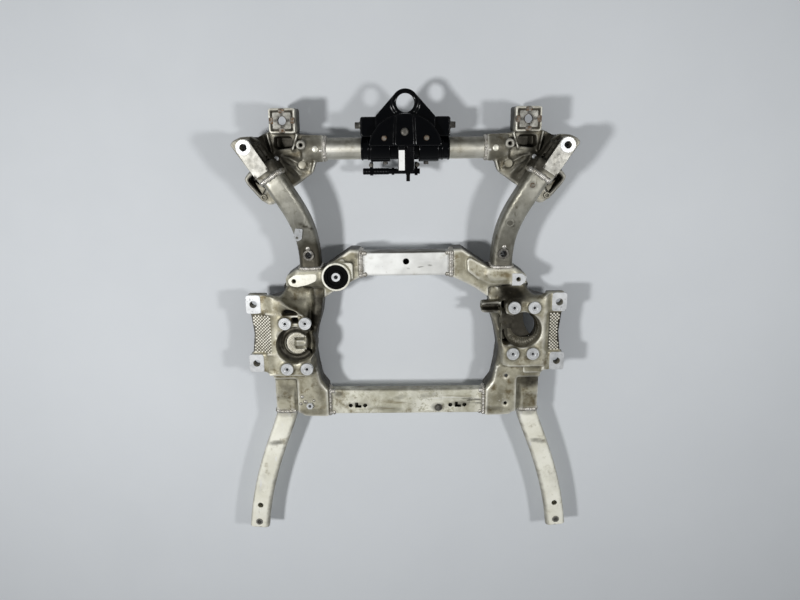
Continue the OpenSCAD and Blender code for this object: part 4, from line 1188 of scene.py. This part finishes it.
for side, word in ((-1, "left"), (1, "right")):
    front = "front_casting_skin_" + word
    bpy.context.view_layer.update()
    for label, x, y, shape, mat, slot in (
            ("socket_plug", 230.5, 485.4, button(8, 1.8), CREAM_FACE, "machined_metal"),
            ("web_button", 266, 445.5, button(10.5, 2.2), CAST, "cast_aluminium"),
            ("lug_ring", 379, 358, ring_boss(8.5, 4.2, 4), CAST, "cast_aluminium"),
            ("lug_bump", 412, 404, button(7.5, 5), WELD, "cast_aluminium"),
            ("bead_pip", 216, 481, button(4.2, 1.5), WELD, "weld_aluminium")):
        lathed(label + "_" + word, [(0, 0, shape, 32)], mat, slot, 30,
               place=on_skin(front, side * x, y))
LUG_WEB = [(403, 400), (373, 382), (384, 363)]
LUG_DIRT = [(s * 388, 382, 60, 60, 0, 0.45) for s in (-1, 1)]
plates("lug_webs", [(LUG_WEB, [], 40, 65), (mirrored(LUG_WEB), [], 40, 65)], CAST,
       "cast_aluminium", 2.0, LUG_DIRT)
PLUG = [(0, 112), (6, 112), (6, 119.5), (5.2, 120.4), (3, 121), (0, 121)]
lathed("web_plug_buttons", [(s * 332, 462, PLUG, 32) for s in (-1, 1)], MACHINED, angle=30,
       stands_for=("web_plugs",))
CLIPS = []
for side in (-1, 1):
    for dx, dy, w, h in ((-26.5, 0, 5.5, 8), (26.5, 0, 5.5, 8), (0, -23.5, 8, 5.5),
                         (0, 23.5, 8, 5.5)):
        x, y = side * PAD_X + dx, PAD_Y + dy
        CLIPS.append((rounded(block(x - w, x + w, y - h, y + h), 2.5), [], 145, 151))
plates("pad_clips", CLIPS, RUSTY, "rusty_steel", 0.8)
STUD = [(0, 100), (10.5, 100), (10.5, 107.4), (9.6, 108.4), (7.4, 108.6), (6.8, 112), (4.2, 112.6),
        (4, 114.2), (3.2, 115), (0, 115)]
lathed("stud_nut", [(90, -237, STUD, 32)], STEEL, "dark_steel", 30, ("beam_stud",))
BUMPS = [(-294.6, -195, 5.5), (-286, -210, 6.5), (-299, -216, 5), (-262, -206, 4)]
lathed("plate_bumps", [(x, y, [(0, 118), (r, 118), (r, 122.2), (r * 0.7, 124), (r * 0.3, 124.8),
                               (0, 124.9)], 20) for x, y, r in BUMPS], WELD, "weld_aluminium", 50)
for side, word in ((-1, "left"), (1, "right")):
    lathed("sleeve_pip_" + word, [(0, 0, button(6, 2.4), 24)], WELD, "weld_aluminium", 50,
           place=on_skin("front_arm_" + word + "_smooth", side * 259, 230))
DENT = [(0, -3), (6.5, -3), (6.5, 0.3), (5.2, 0.9), (3.6, 0.3), (3.2, -1.6), (0, -1.6)]
lathed("arm_dent", [(0, 0, DENT, 28)], RUSTY, "rusty_steel", 30,
       place=on_skin("front_arm_right_smooth", 317.9, 394.2))
RING_MARK = [(7.4, -2), (11, -2), (11, 0.8), (10.2, 1.5), (8.2, 1.5), (7.4, 0.8)]
lathed("arm_ring_mark", [(0, 0, RING_MARK, 36)], ARM_METAL, "tube_aluminium", 30,
       place=on_skin("front_arm_right_smooth", 268.7, 296.3))

# %% [markdown]
# Geometry Nodes make what repeats. These helpers build a tree with named inputs, put it on
# an object as a modifier, set the inputs by their identifiers, and bake the result.

# %% Helpers for Geometry Nodes


def geo_tree(name, inputs):
    tree = bpy.data.node_groups.new(name, "GeometryNodeTree")
    sockets = tree.interface
    sockets.new_socket("Geometry", in_out="INPUT", socket_type="NodeSocketGeometry")
    for socket, kind, default in inputs:
        made = sockets.new_socket(socket, in_out="INPUT", socket_type="NodeSocket" + kind)
        if default is not None:
            made.default_value = default
    sockets.new_socket("Geometry", in_out="OUTPUT", socket_type="NodeSocketGeometry")
    out = tree.nodes.new("NodeGroupOutput").inputs["Geometry"]
    return tree, tree.nodes.new("NodeGroupInput").outputs, out


def close_tree(tree, geometry, out, material):
    real = node(tree, "GeometryNodeRealizeInstances", None, Geometry=geometry)
    dressed = node(tree, "GeometryNodeSetMaterial", None, Geometry=real.outputs[0],
                   Material=material)
    tree.links.new(dressed.outputs[0], out)
    return tree


def turned_to(tree, **ways):
    way = node(tree, "GeometryNodeInputNamedAttribute", {"data_type": "FLOAT_VECTOR"}, Name="axis")
    return node(tree, "FunctionNodeAlignRotationToVector", {"axis": "Z", **ways},
                Vector=way.outputs["Attribute"])


def lifted(tree, geometry, height):
    way = node(tree, "ShaderNodeCombineXYZ", None, Z=height).outputs[0]
    return node(tree, "GeometryNodeTransform", None, Geometry=geometry, Translation=way).outputs[0]


def grow(obj, tree, **values):
    mod = obj.modifiers.new(tree.name, "NODES")
    mod.node_group = tree
    sockets = {s.name: s.identifier for s in tree.interface.items_tree if s.in_out == "INPUT"}
    for name, value in values.items():
        mod[sockets[name.replace("_", " ")]] = value
    return bake(obj)


def guide(name, places, edges=(), axes=()):
    mesh = bpy.data.meshes.new(name)
    mesh.from_pydata([Vector(p) * MM for p in places], list(edges), [])
    if axes:
        layer = mesh.attributes.new("axis", "FLOAT_VECTOR", "POINT")
        layer.data.foreach_set("vector", [c for row in axes for c in row])
    return new_piece(name, mesh)


print("node helpers ready")

# %% [markdown]
# A weld is a row of overlapping drops, each laid on the one before. The tree walks round
# the joint on a closed path and sets a flattened drop every few millimetres, with a little
# chance in its size. Each path point carries the direction of the joint's axis, so the
# drops lie flat in the corner between tube and casting.

# %% Tree: weld bead


def make_bead():
    tree, given, out = geo_tree("weld_bead", [
        ("Pitch", "Float", 0.003), ("Width", "Float", 0.006), ("Proud", "Float", 0.005),
        ("Long", "Float", 0.0033), ("Chance", "Float", 0.16), ("Seed", "Int", 1),
        ("Material", "Material", None)])
    path = node(tree, "GeometryNodeMeshToCurve", None, Mesh=given["Geometry"])
    even = node(tree, "GeometryNodeResampleCurve", {"mode": "LENGTH"}, Curve=path.outputs[0],
                Length=given["Pitch"])
    turn = node(tree, "FunctionNodeAlignRotationToVector", {"axis": "X"},
                Vector=node(tree, "GeometryNodeInputTangent").outputs[0])
    flat = turned_to(tree, pivot_axis="X")
    tree.links.new(turn.outputs[0], flat.inputs["Rotation"])
    drop = node(tree, "GeometryNodeMeshUVSphere", None, Segments=8, Rings=5, Radius=1.0)
    soft = node(tree, "GeometryNodeSetShadeSmooth", None, Geometry=drop.outputs["Mesh"])
    size = node(tree, "ShaderNodeCombineXYZ", None, X=given["Long"], Y=given["Proud"],
                Z=given["Width"])
    chance = node(tree, "FunctionNodeRandomValue", {"data_type": "FLOAT"},
                  i2=math_node(tree, "SUBTRACT", 1.0, given["Chance"]),
                  i3=math_node(tree, "ADD", 1.0, given["Chance"]), Seed=given["Seed"])
    scaled = node(tree, "ShaderNodeVectorMath", {"operation": "SCALE"}, i0=size.outputs[0],
                  Scale=chance.outputs[1])
    drops = node(tree, "GeometryNodeInstanceOnPoints", None, Points=even.outputs[0],
                 Instance=soft.outputs[0], Rotation=flat.outputs[0], Scale=scaled.outputs[0])
    return close_tree(tree, drops.outputs[0], out, given["Material"])


BEAD = make_bead()
print("tree:", BEAD.name)

# %% [markdown]
# Each path follows the outline of the tube or beam that enters the casting, a little
# outside it, on both sides of the car. Short straight runs close the corners of the beams.

# %% Weld paths
OUTSIDE, LIFT = 0.6, 2.4


def section(width, depth, radius):
    w, d, r = width / 2 + OUTSIDE, depth / 2 + OUTSIDE, radius + OUTSIDE
    out = []
    for cx, cy, start in ((w - r, d - r, 0), (r - w, d - r, 90), (r - w, r - d, 180),
                          (w - r, r - d, 270)):
        for k in range(7):
            a = math.radians(start + k * 15)
            out.append((cx + r * math.cos(a), cy + r * math.sin(a)))
    return out


for part, origin, turn, loop, seed, size in (
        ("arm_heads", (340, 420, 152), math.degrees(TURN) + 180, section(55, 65, 14), 3, 1.3),
        ("arm_feet", (256.5, 172, 98), 90, section(55, 65, 14), 4, 1.0),
        ("upper_beam", (124, 183.5, 96), 180, section(65, 48, 6), 5, 1.3),
        ("lower_beam", (222, -218, 90), 180, section(73, 30, 4), 6, 1.3),
        ("legs", (343, -245, 75), -90, section(57, 50, 12), 7, 1.15),
        ("front_tube", (210, 485.5, 100), 180, circle(0, 0, 28.6, 36), 8, 1.0)):
    places, edges, axes = [], [], []
    c, s = math.cos(math.radians(turn)), math.sin(math.radians(turn))
    for side in (1, -1):
        first = len(places)
        for y, z in loop:
            x = origin[0] + c * LIFT - s * y
            places.append((side * x, origin[1] + s * LIFT + c * y, origin[2] + z))
            axes.append((side * c, s, 0))
        edges += [(first + k, first + (k + 1) % len(loop)) for k in range(len(loop))]
    bead = grow(guide("weld_bead_" + part, places, edges, axes), BEAD, Pitch=0.0031 * size,
                Width=0.0056 * size, Proud=0.0046 * size, Long=0.0034 * size, Chance=0.14,
                Seed=seed, Material=WELD)
    hand_over(bead, WELD, "weld_aluminium", "weld_" + part)
ends, runs = [], []
for side in (-1, 1):
    for x, y, z in ((124, 213, 119), (124, 155, 119), (222, -186, 104), (222, -250, 104)):
        runs.append((len(ends), len(ends) + 1))
        ends += [(side * x, y, z), (side * (x - 15), y, z)]
corner_runs = grow(guide("weld_corner_runs", ends, runs, [(0, 1, 0)] * len(ends)), BEAD,
                   Pitch=0.004, Width=0.0064, Proud=0.0052, Long=0.0048, Chance=0.2, Seed=9,
                   Material=WELD)
hand_over(corner_runs, WELD, "weld_aluminium")

# %% [markdown]
# The hatch is a field of small pyramids, cut into the casting so that a clamped part can't
# slip. The grid of points is laid out here. The tree drops each point straight down on to
# the casting's skin and sets an upright pyramid with a flat top there.

# %% Tree: diamond hatch


def make_hatch():
    tree, given, out = geo_tree("diamond_hatch", [
        ("Casting", "Object", None), ("Base", "Float", 0.0032), ("Height", "Float", 0.0014),
        ("Flat", "Float", 0.0006), ("Sink", "Float", 0.0002), ("Material", "Material", None)])
    skin = node(tree, "GeometryNodeObjectInfo", {"transform_space": "RELATIVE"},
                Object=given["Casting"])
    hit = node(tree, "GeometryNodeRaycast", None, Target_Geometry=skin.outputs["Geometry"],
               Ray_Direction=(0, 0, -1), Ray_Length=0.2)
    placed = node(tree, "GeometryNodeSetPosition", None, Geometry=given["Geometry"],
                  Position=hit.outputs["Hit Position"], Selection=hit.outputs["Is Hit"])
    tooth = node(tree, "GeometryNodeMeshCone", None, Vertices=4, Radius_Bottom=given["Base"],
                 Radius_Top=given["Flat"], Depth=given["Height"])
    sunk = lifted(tree, tooth.outputs["Mesh"], math_node(tree, "MULTIPLY", given["Sink"], -1.0))
    points = node(tree, "GeometryNodeMeshToPoints", None, Mesh=placed.outputs[0])
    field = node(tree, "GeometryNodeInstanceOnPoints", None, Points=points.outputs[0],
                 Instance=sunk)
    return close_tree(tree, field.outputs[0], out, given["Material"])


HATCH = make_hatch()
ABOVE = 200


def hatch(name, casting, inside, box, pitch):
    x0, x1, y0, y1 = box
    places = []
    for row in range(int((y1 - y0) / (pitch / 2)) + 1):
        y = y0 + row * pitch / 2
        x = x0 + (pitch / 2 if row % 2 else 0)
        while x <= x1:
            if inside(x, y):
                places.append((x, y, ABOVE))
            x += pitch
    field = grow(guide(name, places), HATCH, Casting=bpy.data.objects[casting],
                 Base=pitch * 0.37 * MM, Height=0.0017, Flat=pitch * 0.29 * MM, Sink=0.0003,
                 Material=TEETH)
    field.data.shade_flat()
    return hand_over(field, TEETH, "cast_aluminium")


def in_strip(side):
    def inside(x, y):
        waist = 9 * max(0, math.cos(math.pi * (y + 7) / 124)) if abs(y + 7) < 62 else 0
        return (370 if side < 0 else 389) < side * x < 422 - waist
    return inside


def in_disc(x, y):
    dx, dy = x - BOSS_LEFT[0], y - BOSS_LEFT[1]
    tongue = dx > -10 and abs(dy) < 17.5
    return math.hypot(dx, dy) < 29 and not tongue


STRIP_PITCH, DISC_PITCH = 8.8, 4.6
hatch("hatch_left", "mid_casting_skin_left", in_strip(-1), (-424, -370, -58, 45), STRIP_PITCH)
hatch("hatch_right", "mid_casting_skin_right", in_strip(1), (389, 424, -58, 45), STRIP_PITCH)
hatch("hatch_disc", "mid_casting_skin_left", in_disc, (-332, -270, -68, -8), DISC_PITCH)

# %% [markdown]
# A hexagon head is a prism whose corners are turned off by a cone. In the tree the prism
# is crossed with a turned body, which gives the curved chamfers of a real bolt. A round
# flange lies under the head. The heads go on points that carry their axis.

# %% Tree: flanged hexagon head


def make_head():
    tree, given, out = geo_tree("hexagon_head", [
        ("Flats", "Float", 0.016), ("Height", "Float", 0.007), ("Flange", "Float", 0.011),
        ("Flange Height", "Float", 0.003), ("Chamfer", "Float", 0.0016),
        ("Material", "Material", None)])
    prism = node(tree, "GeometryNodeMeshCylinder", None, Vertices=6, Depth=given["Height"],
                 Radius=math_node(tree, "DIVIDE", given["Flats"], math.sqrt(3)))
    half = math_node(tree, "MULTIPLY", given["Height"], 0.5)
    top = math_node(tree, "MULTIPLY", given["Flats"], 0.475)
    wide = math_node(tree, "ADD", top, math_node(tree, "MULTIPLY", given["Height"], 1.75))
    body = node(tree, "GeometryNodeMeshCone", {"fill_type": "NGON"}, Vertices=48, Side_Segments=1,
                Radius_Top=top, Radius_Bottom=wide, Depth=given["Height"])
    low = lifted(tree, body.outputs["Mesh"], math_node(tree, "MULTIPLY", half, -1.0))
    crossed = node(tree, "GeometryNodeMeshBoolean", {"operation": "INTERSECT", "solver": "EXACT"})
    for mesh in (prism.outputs["Mesh"], low):
        tree.links.new(mesh, crossed.inputs["Mesh 2"])
    rise = math_node(tree, "ADD", half, math_node(tree, "MULTIPLY", given["Flange Height"], 0.6))
    raised = lifted(tree, crossed.outputs["Mesh"], rise)
    disc = node(tree, "GeometryNodeMeshCone", None, Vertices=40, Radius_Bottom=given["Flange"],
                Radius_Top=math_node(tree, "SUBTRACT", given["Flange"], given["Chamfer"]),
                Depth=given["Flange Height"])
    whole = node(tree, "GeometryNodeJoinGeometry")
    for mesh in (raised, disc.outputs["Mesh"]):
        tree.links.new(mesh, whole.inputs[0])
    points = node(tree, "GeometryNodeMeshToPoints", None, Mesh=given["Geometry"])
    heads = node(tree, "GeometryNodeInstanceOnPoints", None, Points=points.outputs[0],
                 Instance=whole.outputs[0], Rotation=turned_to(tree).outputs[0])
    return close_tree(tree, heads.outputs[0], out, given["Material"])


HEAD = make_head()
UP = (0, 0, 1)
for name, places, axes, sizes, mat, slot, *stands_for in (
        ("centre_bolt_head", [(-2, 527, 170)], [UP], (14, 8, 9.8, 3), STEEL, "dark_steel",
         "centre_bolt"),
        ("flange_bolt_heads", [(-53, 512, 164), (53, 512, 164)], [UP] * 2, (10.5, 7, 7.0, 3),
         RUSTY, "rusty_steel", "flange_bolts"),
        ("side_bolt_heads", [(-114, 543, 105), (114, 543, 105)], [(-1, 0, 0), (1, 0, 0)],
         (16, 13, 11, 3), STEEL, "dark_steel", "side_bolts"),
        ("strap_nuts", [(-89, 443, 103.5), (31, 443, 103.5)], [UP] * 2, (9, 6, 6, 1.6), STEEL,
         "dark_steel"),
        ("saddle_bolt_heads", [(-52, 450.5, 94), (54, 450.5, 94)], [(0, -1, 0)] * 2,
         (11, 6, 7, 1.5), STEEL, "dark_steel", "saddle_bolts")):
    flats, height, flange, flange_height = (size * MM for size in sizes)
    made = grow(guide(name, places, (), axes), HEAD, Flats=flats, Height=height, Flange=flange,
                Flange_Height=flange_height, Chamfer=0.0012, Material=mat)
    shade(made.data, 30)
    hand_over(made, mat, slot, *stands_for)

# %% [markdown]
# The black bracket was pressed and coated, so its edges are round and its corners are
# filled with paint. It gets a fine skin like the castings.

# %% Bracket, saddles and module
for name, solid, voxel, rounds, mat, slot in (
        ("eye_bracket_skin", "eye_bracket", 0.0014, 16, PAINT, "black_paint"),
        ("bracket_base_skin", "bracket_base", 0.0018, 6, PAINT, "black_paint"),
        ("tube_saddle_skin", "tube_saddles", 0.0013, 8, PAINT, "black_paint"),
        ("control_module_skin", "control_module", 0.0008, 3, PLASTIC, "black_plastic")):
    skin = cast_skin(name, solid, voxel, rounds)
    measure_hollows_and_ridges(skin.data)
    hand_over(skin, mat, slot, solid)

# %% [markdown]
# Between the collars the tube is wrapped in the same black coat, and each collar ends in
# rolled edges that catch the light. They are turned about the tube, so the turned shape is
# made upright first and then laid along the tube.

# %% Black sleeve and rolled edges on the tube
LYING = Matrix(((0, 0, 1, 0), (1, 0, 0, 0), (0, 1, 0, 0), (0, 0, 0, 1)))
ALONG_TUBE = Matrix.Translation((0, 0.4855, 0.100)) @ LYING


def roll(place, radius, thick):
    turns = [math.radians(a) for a in range(0, 360, 30)]
    return (0, 0, [(radius + thick * math.cos(t), place + thick * math.sin(t)) for t in turns], 56)


SLEEVE = [(28.15, -93), (29.5, -93), (29.5, 93), (28.15, 93)]
lathed("tube_sleeve_coat", [(0, 0, SLEEVE, 56)], PAINT, "black_paint", 40, place=ALONG_TUBE)
lathed("collar_rolls", [roll(s * x, 28.6, 2.6) for s in (-1, 1) for x in (111, 95)], PAINT,
       "black_paint", 40, place=ALONG_TUBE)

# %% [markdown]
# The bar under the module is wrapped in tape. The tape's turns show as a row of low steps.

# %% Tape on the bar
ALONG_BAR = Matrix.Translation((0, 0.426, 0.094)) @ LYING
TAPE_PITCH = 7.4
tape = [(7.1, -110.5), (8.0, -110.5)]
for k in range(9):
    tape += [(7.9, -110 + k * TAPE_PITCH), (8.5, -109 + k * TAPE_PITCH),
             (8.2, -103.2 + k * TAPE_PITCH)]
tape += [(7.9, -43), (7.1, -43)]
lathed("bar_tape", [(0, 0, tape, 32)], PLASTIC, "black_plastic", 40, place=ALONG_BAR)

# %% [markdown]
# The other CAD solids keep their shape and only take a finish.

# %% Finishes on the CAD solids
BY_NODE = {
    "bush_outer_sleeve": RUBBER, "bush_rubber": RUBBER, "bush_inner_sleeve": MACHINED,
    "arm_sleeves": STEEL, "arm_tab": MACHINED, "leg_crush_sleeves": WORN_FACE,
    "boss_inserts_left": MACHINED, "boss_inserts_right": MACHINED, "pad_rings": STEEL,
    "plate_nut": MACHINED, "tube_collars": PAINT, "module_label": LABEL, "module_pin": RUBBER,
    "conduit_bar": PLASTIC, "bar_clip": PLASTIC, "bar_straps": PAINT,
}
for name, mat in BY_NODE.items():
    for slot in NODES[name].material_slots:
        slot.link = "OBJECT"
        slot.material = mat
print("solids with a new finish:", len(BY_NODE))
